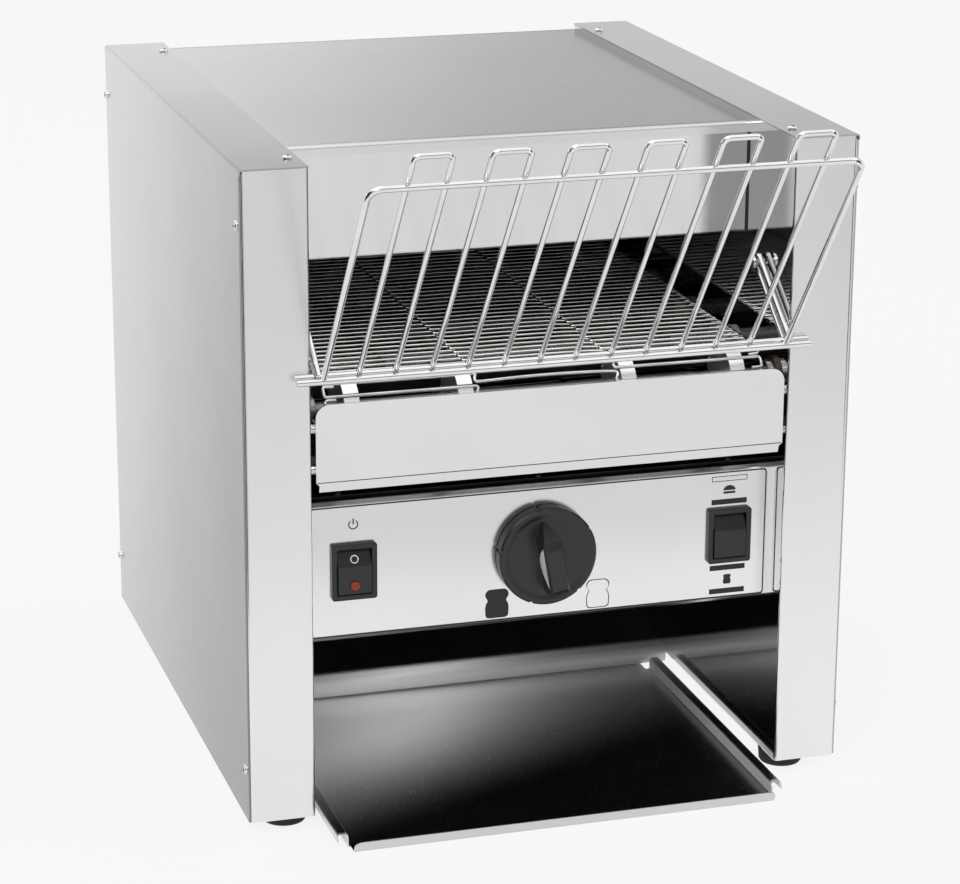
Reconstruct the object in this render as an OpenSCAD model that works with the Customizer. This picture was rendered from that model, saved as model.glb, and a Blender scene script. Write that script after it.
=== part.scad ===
// Conveyor toaster with two side towers, a wire belt between heating elements, a hinged wire
// loading rack, a curved discharge chute and a slide-out toast tray.
// Every piece is drawn from the machine's own datum: x from the middle of the aisle, y from the
// front faces of the towers, z from the underside of the housing.

/* [Housing] */
// Width over both side covers
body_w = 368; // [350:1:440]
// Depth from the tower faces to the rear panel
body_d = 401; // [396:1:460]
// Height without the feet
body_h = 388; // [380:1:440]
// Width of each side tower
tower_w = 39.6; // [38:0.1:50]
// Thickness of the frame sheets
frame_t = 1; // [0.8:0.1:1.5]
// Thickness of the outer cover sheets
cover_t = 1; // [0.8:0.1:1.5]
// Inner radius of a bend in the sheets
bend_r = 1; // [0.6:0.1:2]
// Open seam between a tower's face and its cover
seam = 1.6; // [1:0.1:3]
// Width of the frame's return flanges
flange_w = 14; // [11:1:20]
// Height of the feet
foot_h = 10; // [6:1:20]
// Diameter of the feet
foot_d = 28; // [20:1:32]
// Distance of the feet from the front and rear faces
foot_inset = 24; // [20:1:60]

/* [Panels] */
// How far the top cover lies below the towers
top_drop = 4; // [3:0.5:10]
// Distance of the brow panel behind the tower faces
brow_y = 73; // [60:1:90]
// Height of the brow panel's lower edge
brow_z = 315.5; // [300:0.5:330]
// Distance of the control panel behind the tower faces
panel_y = 20.4; // [15:0.1:30]
// Height of the control panel's lower edge
panel_z = 99.8; // [92:0.1:104]
// Height of the control panel
panel_h = 85.9; // [80:0.1:90]
// Width of the slanted edges above and below the control panel
bevel = 2.4; // [2:0.1:5]
// Depth of the control box behind the panel
box_d = 210; // [150:1:240]
// Height of the guard plate's lower edge
guard_z = 198.5; // [194:0.5:202]
// Height of the guard plate
guard_h = 52; // [40:0.5:54]
// Gap between the guard plate and each tower wall
guard_gap = 2.4; // [1:0.1:5]
// Radius of the guard plate's upper corners
guard_r = 8; // [3:0.5:15]
// Height of the heat shield over the control box
shield_z = 206; // [204:0.5:210]
// Width of a mounting tab
tab = 10; // [8:1:14]

/* [Belt] */
// Distance from one belt wire to the next
belt_pitch = 8.8; // [8:0.1:9.6]
// Thickness of the belt wire
belt_wire = 2; // [1.6:0.1:2.4]
// Gap between the belt and the left tower wall
belt_gap_left = 9.4; // [7:0.1:20]
// Gap between the belt and the right tower wall
belt_gap_right = 14.4; // [7:0.1:20]
// Width of the belt's middle lane
lane_w = 85; // [60:1:110]
// Width of the hooks at the belt's edges
hook_w = 6.5; // [5:0.5:9]
// Number of grooves round a toothed wheel
wheel_teeth = 14; // [12:2:16]
// Width of a toothed wheel
wheel_w = 9; // [6:0.5:12]
// Least distance from the rear shaft to the rear of the housing
rear_room = 78; // [76:1:110]
// Distance of the front shaft behind the tower faces
shaft_y = 23; // [22.5:0.5:30]
// Height of both shafts
shaft_z = 240.2; // [236:0.1:244]
// Diameter of the shafts
shaft_d = 10; // [8:0.5:12]
// Wall of the brass bushes
bush_t = 3; // [2:0.5:4]
// Running gap round a shaft
run_fit = 0.05; // [0.02:0.01:0.08]

/* [Drive] */
// Pitch of the drive chain
chain_pitch = 8; // [6:0.5:9.5]
// Number of teeth on both chain sprockets
sprocket_teeth = 10; // [8:1:12]
// Number of chain pitches between the motor and the rear shaft
chain_span = 11; // [9:1:13]
// Diameter of the chain's rollers
roller_d = 5; // [3.5:0.1:5.5]
// Thickness of the sprockets
sprocket_t = 3; // [2:0.5:4]
// Diameter of the gear motor
motor_d = 56; // [45:1:65]
// Depth of the gear motor
motor_l = 22; // [15:0.5:24]
// Side of the square cooling fan
fan_w = 80; // [60:1:90]
// Depth of the cooling fan
fan_l = 25; // [15:1:30]

/* [Heating] */
// Diameter of a heating element
element_d = 10; // [8:0.5:12]
// Height of the upper elements
upper_z = 332; // [322:1:338]
// Height of the lower elements
lower_z = 241; // [238:0.5:243]
// Distance from one element to the next
element_step = 72; // [55:1:80]
// Distance of the first element behind the tower faces
element_y = 104; // [90:1:115]
// Thickness of the reflectors
reflector_t = 0.8; // [0.6:0.1:1.2]

/* [Loading rack] */
// Distance of the rack's outer legs from each tower wall
rack_side = 5.4; // [5:0.1:20]
// Number of legs, with the two outer ones
legs = 14; // [10:2:18]
// Diameter of the leg wires
leg_d = 3.3; // [2.5:0.1:4]
// Diameter of the top rail
rail_d = 3.7; // [3:0.1:4.5]
// Diameter of the two cross rods
rod_d = 4; // [3:0.1:5]
// How far the cross rods reach past each tower wall
rod_over = 10.1; // [4:0.1:15]
// Distance of the top rail in front of the tower faces
rail_reach = 107.6; // [90:0.1:130]
// Height of the top rail
rail_z = 397.6; // [360:0.1:420]
// Height of the cross rods
rod_z = 268; // [264:0.5:274]
// Rest gap between the cross rods and the tower faces
rod_gap = 0.4; // [0.3:0.1:1]
// Length of the hairpins above the rail
loop_l = 21; // [12:0.5:30]
// Distance of the rack's pivot behind the tower faces
pivot_y = 45; // [40:1:60]
// Height of the rack's pivot
pivot_z = 304; // [296:1:312]
// Diameter of the pivot pins
pin_d = 4; // [3:0.1:5]

/* [Chute and tray] */
// Distance of the chute's nose behind the tower faces
nose_y = 191.7; // [180:0.1:210]
// Radius of the chute's rolled nose
nose_r = 5.4; // [4:0.1:6]
// Slope of the chute
chute_angle = 10; // [6:0.5:14]
// Radius of the chute's curve up to the rear
sweep_r = 45; // [30:1:60]
// Height of the chute's rear edge
chute_top = 95; // [85:1:110]
// Gap between the toast tray and each tower wall
tray_gap = 5.9; // [2.4:0.1:9]
// Distance of the tray's front lip from the tray's sides
lip_in = 8; // [8:0.5:20]
// Height of the tray's lips
lip_h = 8; // [5:0.5:8.5]
// Width of the hems folded outwards along the tray's side lips
hem_w = 6; // [2.5:0.1:10]
// Distance of the tray's front edge in front of the tower faces
tray_reach = 34; // [20:1:60]
// Length of the tray under the chute's nose
tray_tuck = 20; // [10:1:40]
// Thickness of the tray sheet
tray_t = 0.8; // [0.6:0.1:1.2]

/* [Controls] */
// Distance of the power switch from the left tower wall
power_in = 29; // [25:0.1:44]
// Distance of the selector switch from the right tower wall
selector_in = 26.9; // [25:0.1:44]
// Width of a switch bezel
bezel_w = 27; // [24:0.1:30]
// Height of a switch bezel
bezel_h = 34; // [30:0.1:40]
// Opening for the rocker inside a bezel
rocker_w = 20.8; // [15:0.1:21]
// Radius from a rocker's pin to its ends
rocker_r = 14.8; // [12:0.1:15]
// Tilt of a rocker each way
rocker_tilt = 8; // [5:0.5:10]
// Diameter of the speed knob
knob_d = 60; // [50:1:66]
// Distance of the speed knob right of the middle
knob_x = 1; // [-5:0.5:5]
// Height of the pointer ridge in front of the panel
grip_h = 24; // [18:0.5:26]
// Length of the pointer ridge
grip_l = 42; // [34:0.5:46]
// Turn of the knob at rest, to the left
knob_turn = 10; // [0:1:30]
// Bore of the cable gland
gland_bore = 8; // [6:0.5:10]

/* [Screws] */
// Diameter of the screws' shanks
screw_d = 3; // [2.5:0.5:4]
// Diameter of the screws' heads
head_d = 6; // [5:0.5:8]
// Height of the screws' heads
head_h = 2.2; // [1.5:0.1:3]
// Distance of the cover screws from the front and rear faces
screw_inset = 6; // [5:0.5:8]
// Distance of the cover screws from the top and the bottom
screw_drop = 32; // [24:1:60]

/* [Hidden] */
$fn = 64;
half = body_w / 2;
aisle = half - tower_w;
cover_in = half - cover_t;
top_z = body_h - top_drop;
roof_z = top_z - frame_t;
bend_mid = bend_r + frame_t / 2;
lid_bend = bend_mid + 0.5;
hole_gap = 0.15;
wire_swell = 0.01;
eps = 0.5;
// Belt
belt_l = -aisle + belt_gap_left;
belt_r = aisle - belt_gap_right;
belt_x = (belt_l + belt_r) / 2;
groove_gap = 0.25;
groove_r = belt_wire / 2 + groove_gap;
span = floor((body_d - shaft_y - rear_room) / belt_pitch);
wheel_r = belt_pitch / (2 * sin(180 / wheel_teeth));
tip_r = wheel_r + 0.4;
run_l = span * belt_pitch;
rear_y = shaft_y + run_l;
strand_step = belt_pitch - belt_wire - 0.1;
half_turn = wheel_teeth / 2;
strands = 2 * span + 2 * half_turn;
first_top = 3;
wheel_offsets = [lane_w / 2 + wheel_w / 2 + 2.5, (belt_r - belt_l) / 2 - hook_w - wheel_w / 2 - 4.5];
wheel_phase = 2 * strand_step / belt_pitch * 360 / wheel_teeth;
// Chain
sprocket_r = chain_pitch / (2 * sin(180 / sprocket_teeth));
chain_x = cover_in - 8;
motor_z = shaft_z - chain_span * chain_pitch;
motor_x = aisle + frame_t + 1.5;
chain_links = 2 * (chain_span - 1) + 2 * (sprocket_teeth / 2 + 1);
fan_x = aisle + frame_t;
fan_y = 110;
fan_z = panel_z + panel_h / 2;
// Rack
rack_w = 2 * (aisle - rack_side);
rod_l = 2 * (aisle + rod_over);
rod_y = -(rod_gap + rod_d / 2);
front_rod_y = rod_y - rod_d - 0.7;
front_rod_z = rod_z - 1.6;
leg_step = rack_w / (legs - 1);
rail_p = [-rail_reach, rail_z];
foot_p = [front_rod_y - 0.5, front_rod_z + rod_d / 2];
leg_dir = (rail_p - foot_p) / norm(rail_p - foot_p);
leg_side = [leg_dir.y, -leg_dir.x];
wire_sink = 0.3;
hairpin_off = (rail_d + leg_d) / 2 - wire_sink;
arm_gap = pin_d / 2 + 0.1 + leg_d / 2;
arm_x = aisle - 1.2 - leg_d / 2;
// Overall reach in y, which centres the machine over its own footprint
gland_reach = 18;
rack_tip = foot_p.x + leg_dir.x * (norm(rail_p - foot_p) + loop_l) + leg_side.x * hairpin_off - leg_d / 2;
front_y = -(rack_tip + body_d + gland_reach) / 2;
lower_ys = [for (i = [0 : 2]) element_y + i * element_step];
upper_ys = [for (i = [0 : 2]) element_y + 8 + i * element_step];
cross_in = 37;
cross_ys = [shaft_y + cross_in, rear_y - cross_in];
cross_d = 6;
rail_top = shaft_z + wheel_r - belt_wire / 2 - 0.1;
rail_h = 9;
rail_x = wheel_offsets[1] - 29;
cross_z = rail_top - rail_h - cross_d / 2;
tray_w = 2 * (aisle - tray_gap);
lip_w = tray_w - 2 * lip_in;
power_x = aisle - power_in;
selector_x = aisle - selector_in;
switch_z = panel_z + panel_h / 2;
rocker_depth = 2.6;
pivot_in = panel_y + rocker_depth;
box_z = panel_z - frame_t;
box_top = panel_z + panel_h;
cap_d = 16;
cap_neck = 12;
holder_ys = concat([for (y = lower_ys) [y, lower_z]], [for (y = upper_ys) [y, upper_z]]);
gland_x = -half + tower_w / 2;
gland_z = 42;
gland_d = 16;
gland_in = 12;

// ---- Sheet and wire tools ----

function unit(v) = v / norm(v);
function left_of(u) = [-u.y, u.x];
function turn(a, b, c) = acos(min(1, unit(b - a) * unit(c - b)));
function tangent(a, b, c, r) = r * tan(turn(a, b, c) / 2);
function pick(r, i) = is_list(r) ? r[i - 1] : r;

// Points of a rounded corner at b, from the run a-b to the run b-c.
function corner(a, b, c, r, n) =
    let (u = unit(b - a), w = unit(c - b), s = sign(u.x * w.y - u.y * w.x))
    let (side = left_of(u) * s, o = b - u * tangent(a, b, c, r) + side * r)
    [for (k = [0 : n]) let (t = turn(a, b, c) * k / n) o + r * (u * sin(t) - side * cos(t))];

// A path whose inner points are rounded by r, or by a radius each.
function rounded(path, r, n = 5) = concat(
    [path[0]],
    [for (i = [1 : len(path) - 2], p = corner(path[i - 1], path[i], path[i + 1], pick(r, i), n)) p],
    [path[len(path) - 1]]
);

// A closed outline whose points are all rounded by r.
function rounded_loop(pts, r, n = 5) =
    let (m = len(pts))
    [for (i = [0 : m - 1], p = corner(pts[(i + m - 1) % m], pts[i], pts[(i + 1) % m], r, n)) p];

function beside(path, i, h) =
    let (last = len(path) - 1)
    let (n0 = left_of(unit(i == 0 ? path[1] - path[0] : path[i] - path[i - 1])))
    let (n1 = left_of(unit(i == last ? path[last] - path[last - 1] : path[i + 1] - path[i])))
    let (m = unit(n0 + n1))
    path[i] + m * h / (m * n0);

// A strip of thickness t along the middle line path.
module strip(path, t) {
    last = len(path) - 1;
    polygon(concat(
        [for (i = [0 : last]) beside(path, i, t / 2)],
        [for (i = [last : -1 : 0]) beside(path, i, -t / 2)]
    ));
}

// Extrudes an outline drawn in y and z to both sides of the middle.
module across(w) {
    translate([-w / 2, 0, 0]) rotate([90, 0, 90]) linear_extrude(w) children();
}

// Extrudes an outline drawn in x and z from y0 to y1.
module lengthwise(y0, y1) {
    translate([0, y1, 0]) rotate([90, 0, 0]) linear_extrude(y1 - y0) children();
}

// Turns what stands on z = 0 so that it stands along x, away from the middle.
module along_x(p) {
    translate(p) rotate([0, 90, 0]) children();
}

// Turns what stands on z = 0 so that it stands forward of a face, towards -y.
module facing(p) {
    translate(p) rotate([90, 0, 0]) children();
}

module sides() {
    children();
    mirror([1, 0, 0]) children();
}

module block(a, b) {
    translate([min(a.x, b.x), min(a.y, b.y), min(a.z, b.z)])
        cube([abs(b.x - a.x), abs(b.y - a.y), abs(b.z - a.z)]);
}

module rod(a, b, d) {
    v = b - a;
    translate(a) rotate([0, acos(v.z / norm(v)), atan2(v.y, v.x)]) cylinder(d = d, h = norm(v));
}

module elbow(a, b, c, r, d) {
    u = unit(b - a);
    w = unit(c - b);
    side = unit(w - u * (u * w));
    o = b - u * tangent(a, b, c, r) + side * r;
    n = cross(-side, u);
    multmatrix([
        [-side.x, u.x, n.x, o.x],
        [-side.y, u.y, n.y, o.y],
        [-side.z, u.z, n.z, o.z],
        [0, 0, 0, 1]
    ]) rotate_extrude(angle = turn(a, b, c)) translate([r, 0]) circle(d = d + 2 * wire_swell);
}

// A bent round wire; each straight run starts a hair inside the bend before it.
module wire(path, r, d) {
    last = len(path) - 1;
    lap = 0.05;
    for (i = [0 : last - 1]) {
        a = path[i];
        b = path[i + 1];
        u = unit(b - a);
        from = i == 0 ? 0 : tangent(path[i - 1], a, b, r) - lap;
        to = i == last - 1 ? 0 : tangent(a, b, path[i + 2], r) - lap;
        rod(a + u * from, b - u * to, d);
    }
    for (i = [1 : 1 : last - 1]) elbow(path[i - 1], path[i], path[i + 1], r, d);
}

// A pan-head screw that stands on z = 0, with its head above and its shank below.
module screw(l) {
    slot_w = head_d / 6;
    difference() {
        rotate_extrude() polygon(concat(
            [[0, 0], [head_d / 2, 0]],
            [for (t = [0 : 15 : 75]) [head_d / 2 * cos(t), head_h * 0.3 + head_h * 0.7 * sin(t)]],
            [[0, head_h]]
        ));
        for (q = [0, 90]) rotate(q) translate([-head_d / 3, -slot_w / 2, head_h * 0.5])
            cube([head_d / 1.5, slot_w, head_h]);
    }
    translate([0, 0, -l]) cylinder(d = screw_d, h = l);
}

module hole_x(x, y, z, d, l = 6) {
    along_x([x - l / 2, y, z]) cylinder(d = d, h = l);
}

// ---- Housing ----

screw_hole = screw_d + 2 * hole_gap;
side_screw_ys = [screw_inset, body_d - screw_inset];
side_screw_zs = [screw_drop, body_h - screw_drop];
top_screw_ys = [screw_inset + 17, body_d - screw_inset - 28];
top_screw_x = aisle + 6.6;
foot_ys = [foot_inset, body_d - foot_inset];
foot_x = aisle + foot_d / 2 - 0.4;

// One tower frame: inner wall, front and rear faces with return flanges, floor and top flange.
module tower_frame(is_right) {
    h = frame_t / 2;
    x0 = aisle + h;
    x1 = cover_in - h;
    tall = body_h - cover_t;
    edge_cut = bend_r + 0.1;
    difference() {
        union() {
            linear_extrude(tall) strip(rounded([
                [x1, flange_w], [x1, h], [x0, h],
                [x0, body_d - h], [x1, body_d - h], [x1, body_d - flange_w]
            ], bend_mid), frame_t);
            block([aisle + frame_t, frame_t, 0], [cover_in - frame_t, body_d - frame_t, frame_t]);
            block(
                [aisle + frame_t, frame_t, tall - frame_t],
                [aisle + frame_t + flange_w, body_d - frame_t, tall]
            );
        }
        block([cover_in - edge_cut, -eps, tall - edge_cut], [cover_in + eps, body_d + eps, tall + eps]);
        for (y = side_screw_ys, z = side_screw_zs) hole_x(cover_in, y, z, screw_hole);
        for (y = top_screw_ys) translate([top_screw_x, y, tall - 3]) cylinder(d = screw_hole, h = 6);
        for (y = foot_ys) translate([foot_x, y, -eps]) cylinder(d = screw_hole, h = 3);
        for (y = [shaft_y, rear_y]) hole_x(aisle, y, shaft_z, shaft_d + 2 * bush_t + 2 * run_fit);
        for (y = cross_ys) hole_x(aisle, y, cross_z, cross_d + 2 * hole_gap);
        for (p = holder_ys) hole_x(aisle, p[0], p[1], cap_neck + 2 * hole_gap);
        for (z = guard_screw_zs) hole_x(aisle, guard_screw_y, z, screw_hole);
        hole_x(aisle, pivot_y, pivot_z, pin_d + 2 * hole_gap);
        if (is_right) {
            hole_x(aisle, rear_y, motor_z, motor_neck + 2);
            for (p = bracket_screws) hole_x(aisle, p[0], p[1], screw_hole);
        } else {
            hole_x(aisle, fan_y, fan_z, fan_w - 6);
            translate([-gland_x, body_d - 3, gland_z]) rotate([-90, 0, 0])
                cylinder(d = gland_d + 2 * hole_gap, h = 6);
        }
    }
}

module left_tower_frame() {
    color("lightsteelblue") mirror([1, 0, 0]) tower_frame(false);
}

module right_tower_frame() {
    color("lightsteelblue") tower_frame(true);
}

// One cover: the side sheet and the strip over the tower's top, bent from one sheet.
module outer_cover() {
    h = cover_t / 2;
    difference() {
        lengthwise(0, body_d) strip(rounded([
            [half - h, 0], [half - h, body_h - h], [aisle, body_h - h]
        ], bend_r + h), cover_t);
        for (y = [-eps, body_d - seam])
            translate([cover_in - eps, y, -eps]) cube([cover_t + 2 * eps, seam + eps, body_h - 3]);
        for (y = side_screw_ys, z = side_screw_zs) hole_x(half, y, z, screw_hole);
        for (y = top_screw_ys) translate([top_screw_x, y, body_h - 3]) cylinder(d = screw_hole, h = 6);
    }
}

module left_outer_cover() {
    color("silver") mirror([1, 0, 0]) outer_cover();
}

module right_outer_cover() {
    color("silver") outer_cover();
}

// The lid between the towers, with a hem down over the brow panel and flanges to the walls.
module top_cover() {
    h = frame_t / 2;
    y1 = body_d - frame_t - h;
    color("silver") {
        across(2 * aisle) strip(rounded([
            [brow_y - h, top_z - 7], [brow_y - h, top_z - h], [y1, top_z - h], [y1, top_z - tab]
        ], lid_bend), frame_t);
        sides() block([aisle - frame_t, brow_y + tab + 4, top_z - tab], [aisle, y1 - 4, top_z - h]);
    }
}

// The bare panel under the lid's front hem.
module brow_panel() {
    h = frame_t / 2;
    color("gainsboro") {
        across(2 * aisle) strip(rounded([
            [brow_y + tab, brow_z + h], [brow_y + h, brow_z + h], [brow_y + h, roof_z - lid_bend - frame_t]
        ], bend_mid), frame_t);
        sides() block(
            [aisle - frame_t, brow_y + h, brow_z + 4],
            [aisle, brow_y + tab, roof_z - tab - 2]
        );
    }
}

vent_w = 34;
vent_h = 4;

module rear_panel() {
    color("silver") difference() {
        union() {
            block([-aisle, body_d - frame_t, 0], [aisle, body_d, top_z]);
            sides() block(
                [aisle - frame_t, body_d - frame_t - tab, chute_top + 15],
                [aisle, body_d - frame_t / 2, brow_z - 26]
            );
        }
        for (i = [-2 : 2], j = [0 : 5])
            lengthwise(body_d - 2 * frame_t, body_d + frame_t)
                translate([i * (vent_w + 12), 225 + j * 3 * vent_h]) {
                    square([vent_w - vent_h, vent_h], center = true);
                    for (q = [-1, 1]) translate([q * (vent_w - vent_h) / 2, 0]) circle(d = vent_h);
                }
    }
}

// The inner rear wall that turns falling toast down into the chute.
module rear_deflector() {
    y = chute_back + frame_t;
    z = brow_z - 20;
    foot = body_d - 1.5 * frame_t;
    color("gray") across(2 * aisle) strip(rounded([
        [y, chute_top - 15], [y, z], [foot, z + foot - y], [foot, z + foot - y + tab]
    ], bend_mid), frame_t);
}

// ---- Control box ----

panel_back = panel_y + frame_t;
ledge_y = panel_y + 16;

// Cut-outs shared by the panel and its label.
module panel_cutouts(x_gap) {
    for (x = [-power_x, selector_x])
        translate([x, switch_z]) square([switch_body_w + x_gap, switch_body_h + x_gap], center = true);
    translate([knob_x, switch_z]) circle(d = bushing_d + x_gap);
}

module control_panel() {
    h = frame_t / 2;
    z0 = panel_z + h;
    z1 = box_top - h;
    color("gainsboro") difference() {
        union() {
            across(2 * aisle) strip(rounded([
                [ledge_y, z0], [panel_y + h + bevel, z0], [panel_y + h, z0 + bevel],
                [panel_y + h, z1 - bevel], [panel_y + h + bevel, z1], [ledge_y, z1]
            ], bend_mid, 2), frame_t);
            sides() block(
                [aisle - frame_t, panel_y + h, panel_z + bevel + 2],
                [aisle, panel_y + 12, box_top - bevel - 2]
            );
        }
        lengthwise(panel_y - 2, panel_y + 4) panel_cutouts(0.4);
        for (x = panel_screw_xs) translate([x, ledge_y - 5, box_top - 3]) cylinder(d = screw_hole, h = 6);
    }
}

label_t = 0.3;
label_in = 2.4;

// The thin stiff overlay on the control panel.
module control_label() {
    w = aisle - label_in;
    z0 = panel_z + label_in + 0.3 + bevel / 2;
    z1 = box_top - label_in - 0.3 - bevel / 2;
    color("whitesmoke") lengthwise(panel_y - label_t, panel_y) difference() {
        polygon(rounded_loop([[-w, z0], [w, z0], [w, z1], [-w, z1]], 3));
        panel_cutouts(0.4);
    }
}

panel_screw_xs = [-power_x - 6.6, 0, selector_x + 2.5];

// The tray-shaped box that closes off the controls from the toast below and the heat above.
module control_box() {
    h = frame_t / 2;
    y1 = panel_y + box_d;
    color("slategray") difference() {
        across(2 * aisle) strip(rounded([
            [panel_y + 14, box_z + h], [y1, box_z + h], [y1, box_top + h], [panel_y + 8, box_top + h]
        ], bend_mid), frame_t);
        for (x = panel_screw_xs) translate([x, ledge_y - 5, box_top - 3]) cylinder(d = screw_hole, h = 6);
    }
}

module panel_screws() {
    color("silver") for (x = panel_screw_xs) translate([x, ledge_y - 5, box_top + frame_t]) screw(4);
}

// ---- Guard plate and shields ----

guard_x = aisle - guard_gap;
guard_screw_y = 8;
guard_screw_zs = [guard_z + 12, guard_z + guard_h - 16];
fold_h = 6;

// The plate before the belt's nose: upper corners rounded, lower strip folded back a little.
module front_guard() {
    z1 = guard_z + guard_h;
    h = frame_t / 2;
    color("gainsboro") difference() {
        union() {
            intersection() {
                across(2 * guard_x) strip(rounded([
                    [h + 1.6, guard_z], [h, guard_z + fold_h], [h, z1]
                ], bend_mid, 2), frame_t);
                lengthwise(-1, 4) polygon(concat(
                    [[-guard_x + 2, guard_z], [guard_x - 2, guard_z]],
                    [[guard_x - 2, guard_z + fold_h - 2], [guard_x, guard_z + fold_h]],
                    corner([guard_x, guard_z], [guard_x, z1], [-guard_x, z1], guard_r, 6),
                    corner([guard_x, z1], [-guard_x, z1], [-guard_x, guard_z], guard_r, 6),
                    [[-guard_x, guard_z + fold_h], [-guard_x + 2, guard_z + fold_h - 2]]
                ));
            }
            sides() block(
                [guard_x - frame_t, h, guard_screw_zs[0] - 5],
                [guard_x, guard_screw_y + 5, guard_screw_zs[1] + 5]
            );
        }
        for (s = [-1, 1], z = guard_screw_zs) hole_x(s * guard_x, guard_screw_y, z, screw_hole);
    }
}

// Screws with spacer collars that hold the guard plate off the tower walls.
module guard_screws() {
    color("silver") sides() for (z = guard_screw_zs) {
        along_x([guard_x - frame_t, guard_screw_y, z]) mirror([0, 0, 1]) screw(frame_t + guard_gap + 4);
        along_x([guard_x, guard_screw_y, z]) cylinder(d = head_d, h = guard_gap);
    }
}

module lower_heat_shield() {
    h = frame_t / 2;
    y0 = shaft_y + 1;
    y1 = rear_y + tip_r - 2;
    color("darkgray") {
        across(2 * aisle) strip(rounded([
            [y0, shield_z + 7], [y0 + 3, shield_z + h], [y1, shield_z + h], [y1 + 3, shield_z + 7]
        ], bend_mid), frame_t);
        sides() block(
            [aisle - frame_t, y0 + 8, shield_z + h],
            [aisle, y1 - 4, shield_z + frame_t + 6]
        );
    }
}

module upper_reflector() {
    h = reflector_t / 2;
    above = 10;
    past = 30;
    z = upper_z + element_d / 2 + above;
    y0 = brow_y + tab + 6;
    y1 = rear_y + past;
    color("silver") {
        across(2 * aisle) strip(rounded([
            [y0, upper_z - 4], [y0 + 6, z - h], [y1 - 6, z - h], [y1, upper_z - 4]
        ], 3, 3), reflector_t);
        sides() block([aisle - reflector_t, y0 + 12, z - h], [aisle, y1 - 12, z + 8]);
    }
}

module lower_reflector() {
    h = reflector_t / 2;
    below = 5;
    past = 26;
    z = lower_z - element_d / 2 - below;
    y0 = lower_ys[0] - past;
    y1 = lower_ys[2] + past;
    color("silver") {
        across(2 * aisle) strip(rounded([
            [y0, z + 7], [y0 + 4, z - h], [y1 - 4, z - h], [y1, z + 7]
        ], 2, 3), reflector_t);
        sides() block([aisle - reflector_t, y0 + 9, z - reflector_t], [aisle, y1 - 9, z + 1.5]);
    }
}

// ---- Heating ----

cap_h = 8;
cap_bore = element_d + 0.2;

module elements(ys, z) {
    for (y = ys) rod([-aisle + 2, y, z], [aisle - 2, y, z], element_d);
}

module upper_elements() {
    color("mistyrose") elements(upper_ys, upper_z);
}

module lower_elements() {
    color("mistyrose") elements(lower_ys, lower_z);
}

// Ceramic caps in the tower walls, each with a blind seat for an element's end.
module element_holders() {
    color("ivory") sides() for (p = holder_ys) difference() {
        union() {
            along_x([aisle - cap_h, p[0], p[1]]) cylinder(d = cap_d, h = cap_h);
            along_x([aisle - 1, p[0], p[1]]) cylinder(d = cap_neck, h = frame_t + 5);
        }
        along_x([aisle - cap_h - 1, p[0], p[1]]) cylinder(d = cap_bore, h = cap_h - 1);
    }
}

// ---- Belt ----

lane_l = belt_x - lane_w / 2;
lane_r = belt_x + lane_w / 2;

// One strand of the belt, as places across the machine and offsets along the loop.
strand = let (q = strand_step, e = 1.5) [
    [belt_l + hook_w, q], [belt_l, q], [belt_l, 0],
    [lane_l + e, 0], [lane_l - e, -q], [lane_r + e, -q], [lane_r - e, -2 * q],
    [belt_r, -2 * q], [belt_r, -3 * q], [belt_r - hook_w, -3 * q]
];

// Where the loop is at distance s: top run, round the rear, bottom run, round the front.
function on_loop(s) =
    let (arc = half_turn * belt_pitch, t = (s % (2 * run_l + 2 * arc) + 2 * run_l + 2 * arc))
    let (u = t % (2 * run_l + 2 * arc), k = 180 / arc)
    u < run_l ? [shaft_y + u, shaft_z + wheel_r]
    : u < run_l + arc ? let (a = 90 - (u - run_l) * k)
        [rear_y + wheel_r * cos(a), shaft_z + wheel_r * sin(a)]
    : u < 2 * run_l + arc ? [rear_y - (u - run_l - arc), shaft_z - wheel_r]
    : let (a = 270 - (u - 2 * run_l - arc) * k)
        [shaft_y + wheel_r * cos(a), shaft_z + wheel_r * sin(a)];

// A strand that lies flat on the top run.
module flat_strand(i) {
    pts = [for (q = strand) [q.x, shaft_y + i * belt_pitch + q.y]];
    translate([0, 0, shaft_z + wheel_r - belt_wire / 2]) linear_extrude(belt_wire) strip(pts, belt_wire);
}

module belt_top_run() {
    color("dimgray") for (i = [first_top : span - 1]) flat_strand(i);
}

// Each lane's bar on the curved ends and the bottom run.
module lane_bar(i, x0, x1, off) {
    p = on_loop(i * belt_pitch + off);
    rod([x0, p[0], p[1]], [x1, p[0], p[1]], belt_wire);
}

// The links between the lanes, and the hooks at the edges.
module lane_link(i, x, from, to) {
    a = on_loop(i * belt_pitch + from);
    b = on_loop(i * belt_pitch + to);
    v = b - a;
    translate([x, (a[0] + b[0]) / 2, (a[1] + b[1]) / 2]) rotate([atan2(v[1], v[0]), 0, 0])
        cube([belt_wire * 1.1, norm(v) + belt_wire * 0.9, belt_wire * 1.02], center = true);
}

module return_strand(i) {
    q = strand_step;
    lane_bar(i, belt_l, belt_l + hook_w, q);
    lane_link(i, belt_l, q, 0);
    lane_bar(i, belt_l, lane_l, 0);
    lane_link(i, lane_l, 0, -q);
    lane_bar(i, lane_l, lane_r, -q);
    lane_link(i, lane_r, -q, -2 * q);
    lane_bar(i, lane_r, belt_r, -2 * q);
    lane_link(i, belt_r, -2 * q, -3 * q);
    lane_bar(i, belt_r - hook_w, belt_r, -3 * q);
}

module belt_return_run() {
    color("dimgray") for (i = [span : strands + first_top - 1]) return_strand(i);
}

module belt_rails() {
    past = 13;
    color("silver") sides() block(
        [rail_x, cross_ys[0] - past, rail_top - rail_h], [rail_x + 2, cross_ys[1] + past, rail_top]
    );
}

module cross_rods() {
    x = aisle + frame_t + 2;
    color("silver") for (y = cross_ys) rod([-x, y, cross_z], [x, y, cross_z], cross_d);
}

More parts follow.
